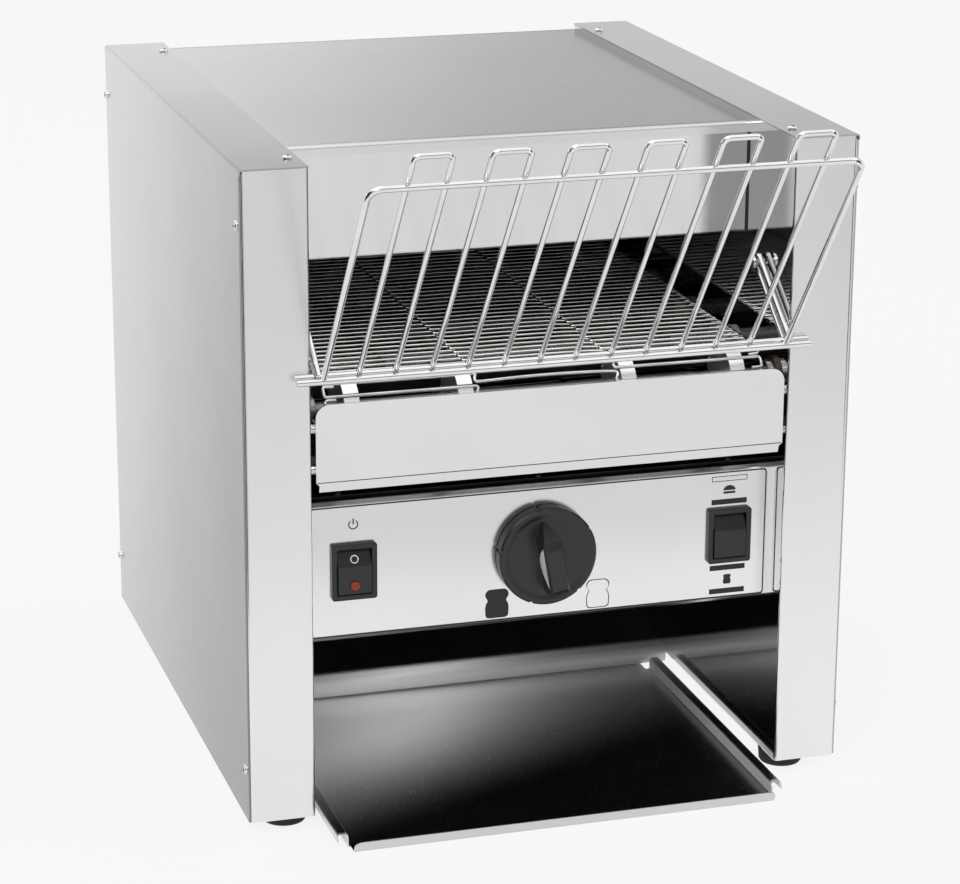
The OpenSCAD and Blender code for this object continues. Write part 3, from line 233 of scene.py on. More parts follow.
class Shader(Nodes):
    """A material in the making, around one surface shader."""

    # How squarely a sheet has to face an axis, to count not yet and to count fully
    squarely = (0.6, 0.95)
    bevel_samples = 6

    def __init__(self, name: str) -> None:
        """Makes an empty material with a surface shader.

        Args:
            name: The material's name.
        """
        self.material = bpy.data.materials.new(name)
        self.material.use_nodes = True
        super().__init__(self.material.node_tree)
        self.surface = self.tree.nodes["Principled BSDF"]
        self.place = self.new("TexCoord").outputs["Object"]

    def set(self, **values: Socket | float) -> None:
        """Fills the surface shader's sockets, named with underscores for spaces."""
        self.feed(self.surface, {name.replace("_", " "): value for name, value in values.items()})

    def noise(self, scale: float, along: Along = Along.NONE, detail: float = 3.0) -> Socket:
        """Adds a noise pattern in the part's frame.

        Args:
            scale: Features to the metre.
            along: The way in which the pattern is drawn out.
            detail: Number of finer layers.

        Returns:
            The socket of the pattern's value.
        """
        place = self.feed(self.new("Mapping"), {"Vector": self.place, "Scale": along.value})
        return self.feed(self.new("TexNoise"), {"Vector": place, "Scale": scale, "Detail": detail})

    def ramp(self, way: Triple, start: float, end: float) -> Socket:
        """Adds a value that grows from 0 to 1 across the part.

        Args:
            way: Direction in which it grows.
            start: Distance along that direction at which it is 0, in metres.
            end: Distance at which it is 1.

        Returns:
            The socket of the value.
        """
        dot = self.new("VectorMath")
        dot.operation = "DOT_PRODUCT"
        return self.change(self.feed(dot, {0: self.place, 1: way}, "Value"), start, end)

    def facing(self, axis: str) -> Socket:
        """Adds a value that is 1 on sheets that face along an axis, either way."""
        normal = self.split(self.new("TexCoord").outputs["Normal"])
        return self.spread(self.combined("ABSOLUTE", normal[axis]), 0.0, 1.0, *self.squarely)

    def raise_by(self, height: Socket, depth: float, strength: float) -> None:
        """Shapes the surface's normal by a height pattern.

        Args:
            height: The pattern.
            depth: Height of the relief in millimetres.
            strength: Share of the relief that shows.
        """
        relief = {"Height": height, "Distance": depth * MM, "Strength": strength}
        self.set(Normal=self.feed(self.new("Bump"), relief))

    def soften(self, radius: float) -> None:
        """Rounds the shading at the piece's edges, under the relief.

        Args:
            radius: Radius of the edges in millimetres.
        """
        bevel = self.new("Bevel")
        bevel.samples = self.bevel_samples
        relief = self.surface.inputs["Normal"].links[0].from_node
        self.feed(relief, {"Normal": self.feed(bevel, {"Radius": radius * MM})})

    def within(self, low: Vector, high: Vector, soft: float) -> Socket:
        """Adds a soft-edged mask that is 1 inside a box.

        Args:
            low: The box's lowest corner.
            high: The box's highest corner.
            soft: Width of the mask's edge in metres.

        Returns:
            The socket of the mask.
        """
        place = self.split(self.place)
        mask = None
        for axis in range(3):
            for edge, way in ((low[axis], 1.0), (high[axis], -1.0)):
                side = self.spread(place[axis], 0.0, 1.0, edge - way * soft, edge + way * soft)
                mask = self.combined("MULTIPLY", mask, side) if mask else side
        return mask


@dataclass(frozen=True)
class OvenSizes:
    """Where heat tint and painted shade darken the aisle's walls, in millimetres from the machine's datum.

    Attributes:
        zones: Front, rear, lower and upper end of the oven, and of the feed opening before it.
        into_wall: How far the zones reach into the walls' sheet.
        soft: Width of the zones' edges.
    """

    zones: tuple[Levels, ...] = ((90, 395, 212, 345), (5, 90, 266, 308))
    into_wall: float = 1.5
    soft: float = 6.0

    def walls(self) -> tuple[tuple[Vector, Vector], ...]:
        """Finds the zones in the part's frame.

        Returns:
            The lowest and highest corner of each zone.
        """
        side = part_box("left_tower_frame")[1].x + self.into_wall * MM
        return tuple(
            (
                Vector((side, DATUM.face_y + start * MM, DATUM.foot + low * MM)),
                Vector((-side, DATUM.face_y + end * MM, DATUM.foot + high * MM)),
            )
            for start, end, low, high in self.zones
        )


OVEN = OvenSizes()


@dataclass(frozen=True)
class PaintedShadingFade:
    """A slow change of tone across a sheet: painted light and shade that stand in for the sheet's
    reflections.

    Attributes:
        tone: Grey at the far end.
        way: Direction in which the tone changes.
        start: Distance along that direction at which the change starts, in metres.
        end: Distance at which it ends.
        flat: Whether only the sheet's level faces change.
    """

    tone: float
    way: Triple
    start: float
    end: float
    flat: bool = False


@dataclass(frozen=True)
class SheetSteel:
    """Stainless sheet: its own grey, the blur of its polish, and the lines left by it.

    Attributes:
        name: The finish's name.
        tone: Grey that it reflects.
        blur: Roughness of the polish.
        along: The way in which it was polished.
        lines: How much the polishing lines show.
        fade: Painted light and shade, as a slow change of tone over the sheet, if any.
        mirror: Roughness of the walls that face sideways, if they are polished brighter.
        stain_and_painted_shade: Near-black colour of the aisle's walls in the oven and the feed opening,
            heat tint deepened into painted shade, if any.
        painted_light_haze: Share by which the sheet stops being bare metal at the fade's far end, so that
            it scatters the lamps' light there as painted light.
        upright_painted_light: Whether the upright walls take the tone and the haze of the far end, as
            painted light on them.
    """

    name: str
    tone: float
    blur: float
    along: Along
    lines: float
    fade: PaintedShadingFade | None = None
    mirror: float | None = None
    stain_and_painted_shade: Triple | None = None
    painted_light_haze: float = 0.0
    upright_painted_light: bool = False

    # Clouds to the metre and how far the tone drifts in them; lines to the metre, their finer
    # layers and their depth in millimetres; how far both polishes vary
    clouds, drift = 7.0, 0.02
    grain, layers, relief = 3800.0, 4.0, 0.012
    polish, bright = (0.86, 1.16), (0.8, 1.2)

    def wear_and_painted_light(self, shader: Shader) -> Socket:
        """Builds the share of the fade's far end: how much of the painted light and shade a place takes.

        Args:
            shader: The material in the making.

        Returns:
            The socket of the share.
        """
        share = shader.ramp(self.fade.way, self.fade.start, self.fade.end)
        if self.fade.flat:
            share = shader.combined("MULTIPLY", share, shader.facing("Z"))
        # Painted light: the upright walls take the far end's light tone and haze
        if self.upright_painted_light:
            for axis in ("X", "Y"):
                share = shader.combined("MAXIMUM", share, shader.facing(axis))
        return share

    def greys(self, tone: float) -> tuple[Triple, ...]:
        """Gives the two greys between which a tone drifts."""
        return tuple((min(1.0, tone + way * self.drift),) * 3 for way in (-1, 1))

    def colour(self, shader: Shader) -> Socket:
        """Builds the sheet's colour.

        Args:
            shader: The material in the making.

        Returns:
            The socket of the colour.
        """
        clouds = shader.spread(shader.noise(self.clouds), 0.0, 1.0)
        colour = shader.blend(clouds, *self.greys(self.tone))
        # Painted light and shade: the tone moves towards the fade's grey across the sheet
        if self.fade:
            far = shader.blend(clouds, *self.greys(self.fade.tone))
            colour = shader.blend(self.wear_and_painted_light(shader), colour, far)
        # Painted shade over heat tint: the aisle's walls go near black in the oven and the feed opening
        if self.stain_and_painted_shade:
            for zone in OVEN.walls():
                colour = shader.blend(shader.within(*zone, OVEN.soft * MM), colour, self.stain_and_painted_shade)
        return colour

    def make(self) -> Material:
        """Builds the material.

        Returns:
            The finished material.
        """
        shader = Shader(self.name)
        fine = shader.noise(self.grain, self.along, self.layers)
        rough = shader.varied(fine, self.blur, self.polish)
        if self.mirror is not None:
            smooth = shader.varied(fine, self.mirror, self.bright)
            rough = shader.mixed(shader.facing("X"), rough, smooth)
        shader.set(Base_Color=self.colour(shader), Roughness=rough, Metallic=1.0)
        # Painted light: the sheet turns partly non-metal at the fade's far end, so that it scatters light
        # there
        if self.painted_light_haze and self.fade:
            metal = shader.spread(self.wear_and_painted_light(shader), 1.0, 1.0 - self.painted_light_haze, 0.0, 1.0)
            shader.set(Metallic=metal)
        shader.raise_by(fine, self.relief, self.lines)
        return shader.material


@dataclass(frozen=True)
class Finish:
    """What the other finishes share: a colour that drifts, under fine marks.

    Attributes:
        name: The finish's name.
        colour: Its colour.
        blur: Roughness.
    """

    name: str
    colour: Triple
    blur: float

    # Drifts of the colour to the metre and their finer layers; marks to the metre, the way they
    # run, their depth in millimetres and the share of it that shows; how far the roughness
    # varies; the darker shade of the colour; radius of the soft edges in millimetres
    drift, layers = 60.0, 3.0
    grain, along, relief, strength = 2500.0, Along.NONE, 0.0, 0.4
    polish = (0.7, 1.4)
    darker = 0.93
    edge = 0.0

    def tones(self) -> tuple[Triple, Triple]:
        """Gives the two colours between which the surface drifts."""
        return tuple(c * self.darker for c in self.colour), self.colour

    def nature(self) -> dict[str, float]:
        """Gives the surface shader's other values; bare metal, if the finish has no other."""
        return {"Metallic": 1.0}

    def make(self) -> Material:
        """Builds the material.

        Returns:
            The finished material.
        """
        shader = Shader(self.name)
        marks = shader.noise(self.grain, self.along)
        drift = shader.spread(shader.noise(self.drift, detail=self.layers), 0.0, 1.0)
        rough = shader.varied(marks, self.blur, self.polish)
        shader.set(Base_Color=shader.blend(drift, *self.tones()), Roughness=rough, **self.nature())
        if self.relief:
            shader.raise_by(marks, self.relief, self.strength)
        if self.edge:
            shader.soften(self.edge)
        return shader.material


@dataclass(frozen=True)
class HotSteel(Finish):
    """Steel that works in the heat, dull with straw and brown patches.

    Attributes:
        burnt: Colour where it is hottest.
        drift: Patches to the metre.
    """

    burnt: Triple
    drift: float = 30.0

    layers = 5.0
    grain, relief, strength = 1500.0, 0.02, 0.3
    polish = (0.8, 1.3)

    def tones(self) -> tuple[Triple, Triple]:
        """Gives the colours of the cooler and the hottest parts."""
        return self.colour, self.burnt


@dataclass(frozen=True)
class BrightMetal(Finish):
    """Chrome, zinc, brass or turned steel on small round pieces.

    Attributes:
        along: The way in which the marks run.
    """

    along: Along = Along.NONE

    relief = 0.004


@dataclass(frozen=True)
class Moulded(Finish):
    """Plastic, rubber or glazed ceramic from a mould.

    Attributes:
        grain: Grains of the mould's texture to the metre.
        relief: Depth of the texture in millimetres.
        coat: Weight of a clear glaze.
        edge: Radius of the soft edges in millimetres.
    """

    grain: float = 2600.0
    relief: float = 0.01
    coat: float = 0.0
    edge: float = 0.0

    drift, strength = 45.0, 0.5
    polish = (0.85, 1.15)
    # The worn tone's factor and lift, and the glaze's roughness
    wear_and_painted_light, lift, glaze = 1.12, 0.004, 0.08

    def tones(self) -> tuple[Triple, Triple]:
        """Gives the fresh and the worn colour."""
        return self.colour, tuple(min(1.0, c * self.wear_and_painted_light + self.lift) for c in self.colour)

    def nature(self) -> dict[str, float]:
        """Gives the glaze's values."""
        return {"Coat_Weight": self.coat, "Coat_Roughness": self.glaze}


@dataclass(frozen=True)
class Clear(Finish):
    """Quartz or a coloured lens.

    Attributes:
        through: Share of light that passes through.
        ior: Bending of light.
    """

    through: float
    ior: float = 1.46

    drift, grain = 90.0, 700.0
    polish = (0.7, 1.3)
    darker = 0.9

    def nature(self) -> dict[str, float]:
        """Gives the values of what light passes through."""
        return {"Transmission_Weight": self.through, "IOR": self.ior}


class Finishes:
    """All finishes of the machine, built once and handed out by slot name."""

    def __init__(self) -> None:
        """Builds every finish."""
        x, y, z = Along.X, Along.Y, Along.Z
        heat_tint_and_shade = (0.10, 0.095, 0.088)
        recipes = (
            # Painted reflection: the towers' tone darkens towards the top; the aisle's walls go near black
            # as heat tint and painted shade
            SheetSteel("satin_steel", 0.86, 0.22, z, 0.25, PaintedShadingFade(0.68, (0, 0, 1), 0.05, 0.36),
                       mirror=0.06, stain_and_painted_shade=heat_tint_and_shade),
            # Painted reflection: the left cover lightens towards the rear and the top
            SheetSteel("cover_steel", 0.28, 0.24, z, 0.25, PaintedShadingFade(0.68, (0, 1, 0.6), -0.12, 0.50)),
            # Painted reflection: the right cover lightens towards the rear
            SheetSteel("right_cover_steel", 0.44, 0.24, z, 0.25, PaintedShadingFade(0.50, (0, 1, 0), -0.15, 0.25)),
            # Painted reflection: the lid's level face darkens towards the right and the front
            SheetSteel("lid_steel", 0.71, 0.22, y, 0.2, PaintedShadingFade(0.27, (1, -0.35, 0), -0.28, 0.11, True)),
            # Painted shade: the panel's level faces, its ledge under the guard, are near black
            SheetSteel("panel_steel", 0.86, 0.22, x, 0.2, PaintedShadingFade(0.05, (0, 0, 1), -0.2, -0.1, True)),
            # Painted reflection: the brow's right end is darker
            SheetSteel("brow_steel", 0.74, 0.2, x, 0.15, PaintedShadingFade(0.40, (1, 0, 0), 0.112, 0.122)),
            # Painted light: the chute's nose roll is light grey and partly non-metal, like a lit band
            SheetSteel("chute_steel", 0.5, 0.36, x, 0.1, PaintedShadingFade(0.92, (0, -1, 0), -0.057, -0.050),
                       painted_light_haze=0.9),
            SheetSteel("guard_steel", 0.76, 0.2, x, 0.2),
            # Painted light: the tray lightens towards the rear and the left, and its upright lips are light
            SheetSteel("tray_steel", 0.34, 0.24, y, 0.1, PaintedShadingFade(0.95, (-0.45, 1, 0), -0.12, 0.02),
                       painted_light_haze=0.9, upright_painted_light=True),
            # Painted reflection: the label darkens towards the top
            SheetSteel("panel_overlay", 0.84, 0.2, x, 0.2, PaintedShadingFade(0.70, (0, 0, 1), 0.12, 0.18)),
            # Near-black steel: heat-dulled on the hot pieces; on the lower reflector it is painted shade
            # under the belt
            HotSteel("dark_steel", (0.10, 0.097, 0.094), 0.32, (0.05, 0.045, 0.04)),
            HotSteel("reflector", (0.42, 0.40, 0.38), 0.22, (0.24, 0.20, 0.15)),
            HotSteel("belt_wire", (0.88, 0.87, 0.86), 0.11, (0.64, 0.62, 0.59), 60.0),
            BrightMetal("chrome_wire", (0.80, 0.80, 0.81), 0.05),
            BrightMetal("zinc_screw", (0.78, 0.78, 0.79), 0.16),
            # Painted shade: the panel screws in the dark gap under the guard are near black
            BrightMetal("painted_shade_screw", (0.06, 0.06, 0.062), 0.3),
            # Darker than bare turned steel: painted shade, so that the shafts stay dim inside the aisle
            BrightMetal("shaft_steel", (0.36, 0.36, 0.365), 0.26, x),
            BrightMetal("chain_steel", (0.20, 0.18, 0.16), 0.34),
            BrightMetal("bronze", (0.085, 0.070, 0.055), 0.42, x),
            BrightMetal("wheel_steel", (0.96, 0.96, 0.96), 0.34),
            Moulded("black_plastic", (0.014, 0.014, 0.015), 0.34, 3200.0, 0.008, edge=0.9),
            Moulded("switch_plastic", (0.010, 0.010, 0.011), 0.28, 2400.0, 0.006, edge=1.2),
            Moulded("fan_plastic", (0.02, 0.02, 0.021), 0.5),
            Moulded("terminal_white", (0.72, 0.69, 0.62), 0.45),
            Moulded("white_mark", (0.86, 0.86, 0.86), 0.35, 1800.0, 0.004),
            Moulded("ink_and_painted_shade", (0.012, 0.012, 0.012), 0.5, 5000.0, 0.004),
            Moulded("foot_rubber", (0.015, 0.015, 0.015), 0.75, 1800.0, 0.03),
            Moulded("ceramic", (0.80, 0.76, 0.68), 0.5, 900.0, 0.02, coat=0.6),
            Moulded("motor_case", (0.09, 0.095, 0.10), 0.38, 1400.0, 0.02),
            Clear("quartz", (0.92, 0.91, 0.88), 0.3, 0.75),
            Clear("red_lens", (0.50, 0.035, 0.012), 0.12, 0.3, 1.49),
        )
        self.made: dict[str, Material] = {recipe.name: recipe.make() for recipe in recipes}

    def __getitem__(self, slot: str) -> Material:
        """Gives the finish of a slot."""
        return self.made[slot]


# ---- Tools for shapes -----------------------------------------------------------------------


def rounded(path: list[Vector], radius: float, steps: int = 4) -> list[Vector]:
    """Rounds the inner corners of a path.

    Args:
        path: The path's corners.
        radius: Radius of the bends.
        steps: Number of stretches in a bend.

    Returns:
        The points of the rounded path.
    """
    straight = 1e-4
    points = [path[0]]
    for before, corner, after in zip(path, path[1:], path[2:]):
        u, w = (corner - before).normalized(), (after - corner).normalized()
        angle = u.angle(w, 0.0)
        if angle < straight:
            points.append(corner)
            continue
        inward = (w - u * u.dot(w)).normalized()
        centre = corner - u * radius * math.tan(angle / 2) + inward * radius
        for k in range(steps + 1):
            t = angle * k / steps
            points.append(centre + (u * math.sin(t) - inward * math.cos(t)) * radius)
    return points + [path[-1]]


def turned(start: float, end: float, steps: int) -> list[float]:
    """Gives even steps from one angle in degrees to another, in radians."""
    return [math.radians(start + (end - start) * k / steps) for k in range(steps + 1)]


def wire(name: str, paths: list[list[Vector]], diameter: float, material: Material) -> Piece:
    """Draws round wires along paths, as one piece.

    Args:
        name: The piece's name.
        paths: The middle line of each wire.
        diameter: Thickness of the wire.
        material: Its finish.

    Returns:
        The piece.
    """
    curve = bpy.data.curves.new(name, "CURVE")
    curve.dimensions = "3D"
    curve.bevel_depth = diameter / 2
    curve.bevel_resolution = 2
    curve.use_fill_caps = True
    for path in paths:
        spline = curve.splines.new("POLY")
        spline.points.add(len(path) - 1)
        spline.points.foreach_set("co", [c for point in path for c in (*point, 1.0)])
        spline.use_smooth = True
    return placed(name, curve, material)


def solid(name: str, mesh: Mesh, material: Material, smooth: bool = True) -> Piece:
    """Turns a mesh in the making into a piece.

    Args:
        name: The piece's name.
        mesh: The mesh, which is used up.
        material: Its finish.
        smooth: Whether its faces are shaded as one.

    Returns:
        The piece.
    """
    bmesh.ops.recalc_face_normals(mesh, faces=mesh.faces[:])
    for face in mesh.faces:
        face.smooth = smooth
    data = bpy.data.meshes.new(name)
    mesh.to_mesh(data)
    mesh.free()
    return placed(name, data, material)


def placed(name: str, data: bpy.types.ID, material: Material | None = None) -> Piece:
    """Puts a piece into the scene.

    Args:
        name: The piece's name.
        data: Its shape, or a lamp's or a camera's data.
        material: Its finish, if it has one.

    Returns:
        The piece.
    """
    if material:
        data.materials.append(material)
    piece = bpy.data.objects.new(name, data)
    bpy.context.scene.collection.objects.link(piece)
    return piece


def plate(mesh: Mesh, outline: list[Vector], depth: Vector) -> None:
    """Adds a flat plate to a mesh.

    Args:
        mesh: The mesh in the making.
        outline: The plate's front outline.
        depth: From the front face to the back face.
    """
    front = [mesh.verts.new(point) for point in outline]
    back = [mesh.verts.new(point + depth) for point in outline]
    mesh.faces.new(front)
    mesh.faces.new(back[::-1])
    for i, vertex in enumerate(front):
        mesh.faces.new((front[i - 1], vertex, back[i], back[i - 1]))


def band(mesh: Mesh, outer: list[Vector], inner: list[Vector], depth: Vector) -> None:
    """Adds a flat closed band to a mesh, between two outlines with as many points.

    Args:
        mesh: The mesh in the making.
        outer: The outer outline.
        inner: The inner outline.
        depth: From the front face to the back face.
    """
    rings = [
        [mesh.verts.new(point) for point in ring]
        for ring in (outer, inner, [p + depth for p in inner], [p + depth for p in outer])
    ]
    for ring, following in zip(rings, rings[1:] + rings[:1]):
        for i in range(len(ring)):
            mesh.faces.new((ring[i - 1], ring[i], following[i], following[i - 1]))


def round_box(width: float, height: float, radius: float, steps: int = 6) -> list[Pair]:
    """Gives the outline of a rectangle with round corners about the origin.

    Args:
        width: Its width.
        height: Its height.
        radius: Radius of its corners.
        steps: Number of stretches in a corner.

    Returns:
        Pairs of x and z.
    """
    x, z = width / 2 - radius, height / 2 - radius
    return [
        (sx * x + radius * math.cos(t), sz * z + radius * math.sin(t))
        for corner, (sx, sz) in enumerate(((1, 1), (-1, 1), (-1, -1), (1, -1)))
        for t in turned(90 * corner, 90 * corner + 90, steps)
    ]


class Assembly:
    """What all sub-assemblies share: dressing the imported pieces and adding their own."""

    body = "housing"

    def __init__(self, finishes: Finishes) -> None:
        """Keeps the machine's finishes at hand."""
        self.finishes = finishes

    def dress(self, slot: str, *nodes: str) -> None:
        """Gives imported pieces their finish.

        Args:
            slot: The finish's slot.
            *nodes: The pieces' names.
        """
        for name in nodes:
            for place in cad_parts[name].material_slots:
                place.material = self.finishes[slot]
            log.info("%s finished in %s", name, slot)

    def add(self, piece: Piece, slot: str, body: str | None = None) -> Piece:
        """Fixes a piece of the assembly's own to the body that carries it.

        Args:
            piece: The piece.
            slot: Not used.
            body: The body that carries it, if not the assembly's own.

        Returns:
            The piece.
        """
        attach(piece, body or self.body)
        log.info("%s added on %s", piece.name, body or self.body)
        return piece

    def build(self) -> None:
        """Builds and dresses the sub-assembly."""
        raise NotImplementedError


# ---- Housing --------------------------------------------------------------------------------


@dataclass(frozen=True)
class ShadeLineSizes:
    """Sizes of the painted shade lines where sheets fold or meet, in millimetres from the machine's datum.

    Attributes:
        fold_half: Half the length of the line at the guard's fold.
        fold_z: Height of the line at the guard's fold.
        line: Width of the line at the fold.
        corner_x: Place of the right tower's inner wall.
        corner_y: Place of the brow's front.
        corner_z: Lower and upper end of the gap beside the brow.
        gap: Width of that gap's shadow.
        proud: How far the lines stand on the sheets.
        depth: Thickness of the lines, in shares of that.
    """

    fold_half: float = 141.4
    fold_z: float = 204.5
    line: float = 0.5
    corner_x: float = 144.4
    corner_y: float = 73.0
    corner_z: Pair = (315.8, 382.0)
    gap: float = 1.1
    proud: float = 0.05
    depth: float = 1.2


class Housing(Assembly):
    """Towers, covers, lid, rear wall and feet."""

    shade_lines = ShadeLineSizes()

    def draw_shade_lines(self) -> None:
        """Draws the painted shade line at the guard's fold and the painted shadows of the gaps beside the
        brow.
        """
        m = self.shade_lines
        mesh = bmesh.new()
        depth = Vector((0, m.depth * m.proud * MM, 0))
        corners = ((-1, -0.5), (1, -0.5), (1, 0.5), (-1, 0.5))
        # Painted shade: a near-black line along the guard's fold
        plate(mesh, [DATUM.at(m.fold_half * x, -m.proud, m.fold_z + m.line * z) for x, z in corners], depth)
        low, high = m.corner_z
        for side in (-1, 1):
            inner, outer = side * (m.corner_x - m.gap), side * m.corner_x
            ends = ((inner, low), (outer, low), (outer, high), (inner, high))
            plate(mesh, [DATUM.at(x, m.corner_y - m.proud, z) for x, z in ends], depth)
        self.add(solid("painted_shade_lines", mesh, self.finishes["ink_and_painted_shade"], False), "black_plastic")

    def build(self) -> None:
        """Draws the painted shade lines and dresses the sheets, screws and feet."""
        self.draw_shade_lines()
        self.dress("satin_steel", "left_tower_frame", "right_tower_frame", "rear_panel")
        self.dress("cover_steel", "left_outer_cover")
        self.dress("right_cover_steel", "right_outer_cover")
        self.dress("lid_steel", "top_cover")
        self.dress("guard_steel", "front_guard")
        self.dress("brow_steel", "brow_panel")
        self.dress("dark_steel", "rear_deflector", "lower_heat_shield", "control_box")
        self.dress("zinc_screw", "cover_screws", "foot_screws", "guard_screws")
        # The panel screws are near black as painted shade of the gap they sit in
        self.dress("painted_shade_screw", "panel_screws")
        self.dress("foot_rubber", "feet")


# ---- Wire belt ------------------------------------------------------------------------------


@dataclass(frozen=True)
class BeltSizes:
    """Sizes of the wire belt, in millimetres from the machine's datum.

    Attributes:
        pitch: From one wire to the next.
        thick: Thickness of the wire.
        clear: Gap where two wires hook round each other.
        span: Pitches between the shafts.
        teeth: Grooves round a wheel.
        first: Number of the top run's first wire.
        shaft_y: Place of the front shaft.
        shaft_z: Height of both shafts.
        left: Left edge.
        right: Right edge.
        lane: Width of the middle lane.
        hook: Width of the edge hooks.
        slant: Half the width over which a wire changes lanes.
        bend: Radius of a bend in the wire.
        lift: How far a link rises over the wire that it hooks round.
        bow: How far the wires of the middle lane have bowed.
        bow_steps: Number of stretches in that bow.
    """

    pitch: float = 8.8
    thick: float = 2.0
    clear: float = 0.1
    span: int = 34
    teeth: int = 14
    first: int = 3
    shaft_y: float = 23.0
    shaft_z: float = 240.2
    left: float = -135.0
    right: float = 130.0
    lane: float = 85.0
    hook: float = 6.5
    slant: float = 1.6
    bend: float = 1.5
    lift: float = 0.9
    bow: float = 1.3
    bow_steps: int = 10

    @property
    def wheel(self) -> float:
        """Radius of the ring on which the wires run."""
        return self.pitch / (2 * math.sin(math.pi / self.teeth))

    @property
    def half_turn(self) -> int:
        """Pitches round half a wheel."""
        return self.teeth // 2


class WireBelt(Assembly):
    """The belt's round wires: three lanes, linked to each other and hooked at both edges."""

    sizes = BeltSizes()

    def on_loop(self, along: float, x: float, lift: float) -> Vector:
        """Finds a point of the belt.

        Args:
            along: Distance along the loop from over the front shaft, towards the rear.
            x: Place across the machine.
            lift: Height outside the loop's middle line.

        Returns:
            The point in the part's frame.
        """
        s = self.sizes
        run, arc = s.span * s.pitch, s.half_turn * s.pitch
        u = along % (2 * run + 2 * arc)
        radius = s.wheel + lift
        if u < run:
            return DATUM.at(x, s.shaft_y + u, s.shaft_z + radius)
        if run + arc <= u < 2 * run + arc:
            return DATUM.at(x, s.shaft_y + 2 * run + arc - u, s.shaft_z - radius)
        at_rear = u < run + arc
        shaft_y = s.shaft_y + run if at_rear else s.shaft_y
        gone = u - run if at_rear else u - 2 * run - arc
        angle = (0.5 if at_rear else 1.5) * math.pi - gone / arc * math.pi
        return DATUM.at(x, shaft_y + radius * math.cos(angle), s.shaft_z + radius * math.sin(angle))

    def strand(self, index: int) -> list[Vector]:
        """Draws one wire of the belt from edge hook to edge hook.

        Args:
            index: The strand's number along the loop.

        Returns:
            The points of its middle line.
        """
        s = self.sizes
        step = s.pitch - s.thick - s.clear
        middle = (s.left + s.right) / 2
        lane_l, lane_r = middle - s.lane / 2, middle + s.lane / 2
        flat = [
            (s.left + s.hook, step, 0.0), (s.left, step, s.lift / 2), (s.left, 0.0, 0.0),
            (lane_l + s.slant, 0.0, -s.lift / 2), (lane_l - s.slant, -step, s.lift / 2),
        ]
        for t in (k / s.bow_steps for k in range(1, s.bow_steps)):
            x = lane_l + (lane_r - lane_l) * t
            flat.append((x, -step + s.bow * (1 - (2 * t - 1) ** 2), 0.0))
        flat += [
            (lane_r + s.slant, -step, -s.lift / 2), (lane_r - s.slant, -2 * step, s.lift / 2),
            (s.right, -2 * step, 0.0), (s.right, -3 * step, s.lift / 2),
            (s.right - s.hook, -3 * step, 0.0),
        ]
        points = rounded([Vector(point) for point in flat], s.bend)
        return [self.on_loop(index * s.pitch + p.y, p.x, p.z) for p in points]

    def build(self) -> None:
        """Builds both runs, and dresses what carries and drives them."""
        s = self.sizes
        strands = 2 * s.span + 2 * s.half_turn
        finish = self.finishes["belt_wire"]
        runs = (
            ("belt_wires_top", "belt_top_run", range(s.first, s.span)),
            ("belt_wires_return", "belt_return_run", range(s.span, strands + s.first)),
        )
        for name, node, numbers in runs:
            piece = wire(name, [self.strand(i) for i in numbers], s.thick * MM, finish)
            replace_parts(self.add(piece, "belt_wire"), node)
        self.dress("wheel_steel", "rear_wheels", "front_wheels")
        self.dress("shaft_steel", "rear_shaft", "front_shaft", "cross_rods")
        self.dress("dark_steel", "belt_rails")
        self.dress("bronze", "shaft_bushes")
        self.dress("motor_case", "gear_motor")
        self.dress("satin_steel", "motor_bracket")
        self.dress("zinc_screw", "motor_screws")
        self.dress("chain_steel", "motor_sprocket", "shaft_sprocket", "drive_chain")


# ---- Heating --------------------------------------------------------------------------------


@dataclass(frozen=True)
class CoilSizes:
    """Sizes of a heating coil, in millimetres.

    Attributes:
        across: Outer width of the coil.
        thick: Thickness of its wire.
        pitch: From one turn to the next.
        end: Bare length at each end of the tube.
        inset: From the tube's end to the wire's.
        points: Points round a turn.
        tubes: Tubes in a row.
    """

    across: float = 6.6
    thick: float = 0.8
    pitch: float = 3.2
    end: float = 14.0
    inset: float = 2.0
    points: int = 10
    tubes: int = 3


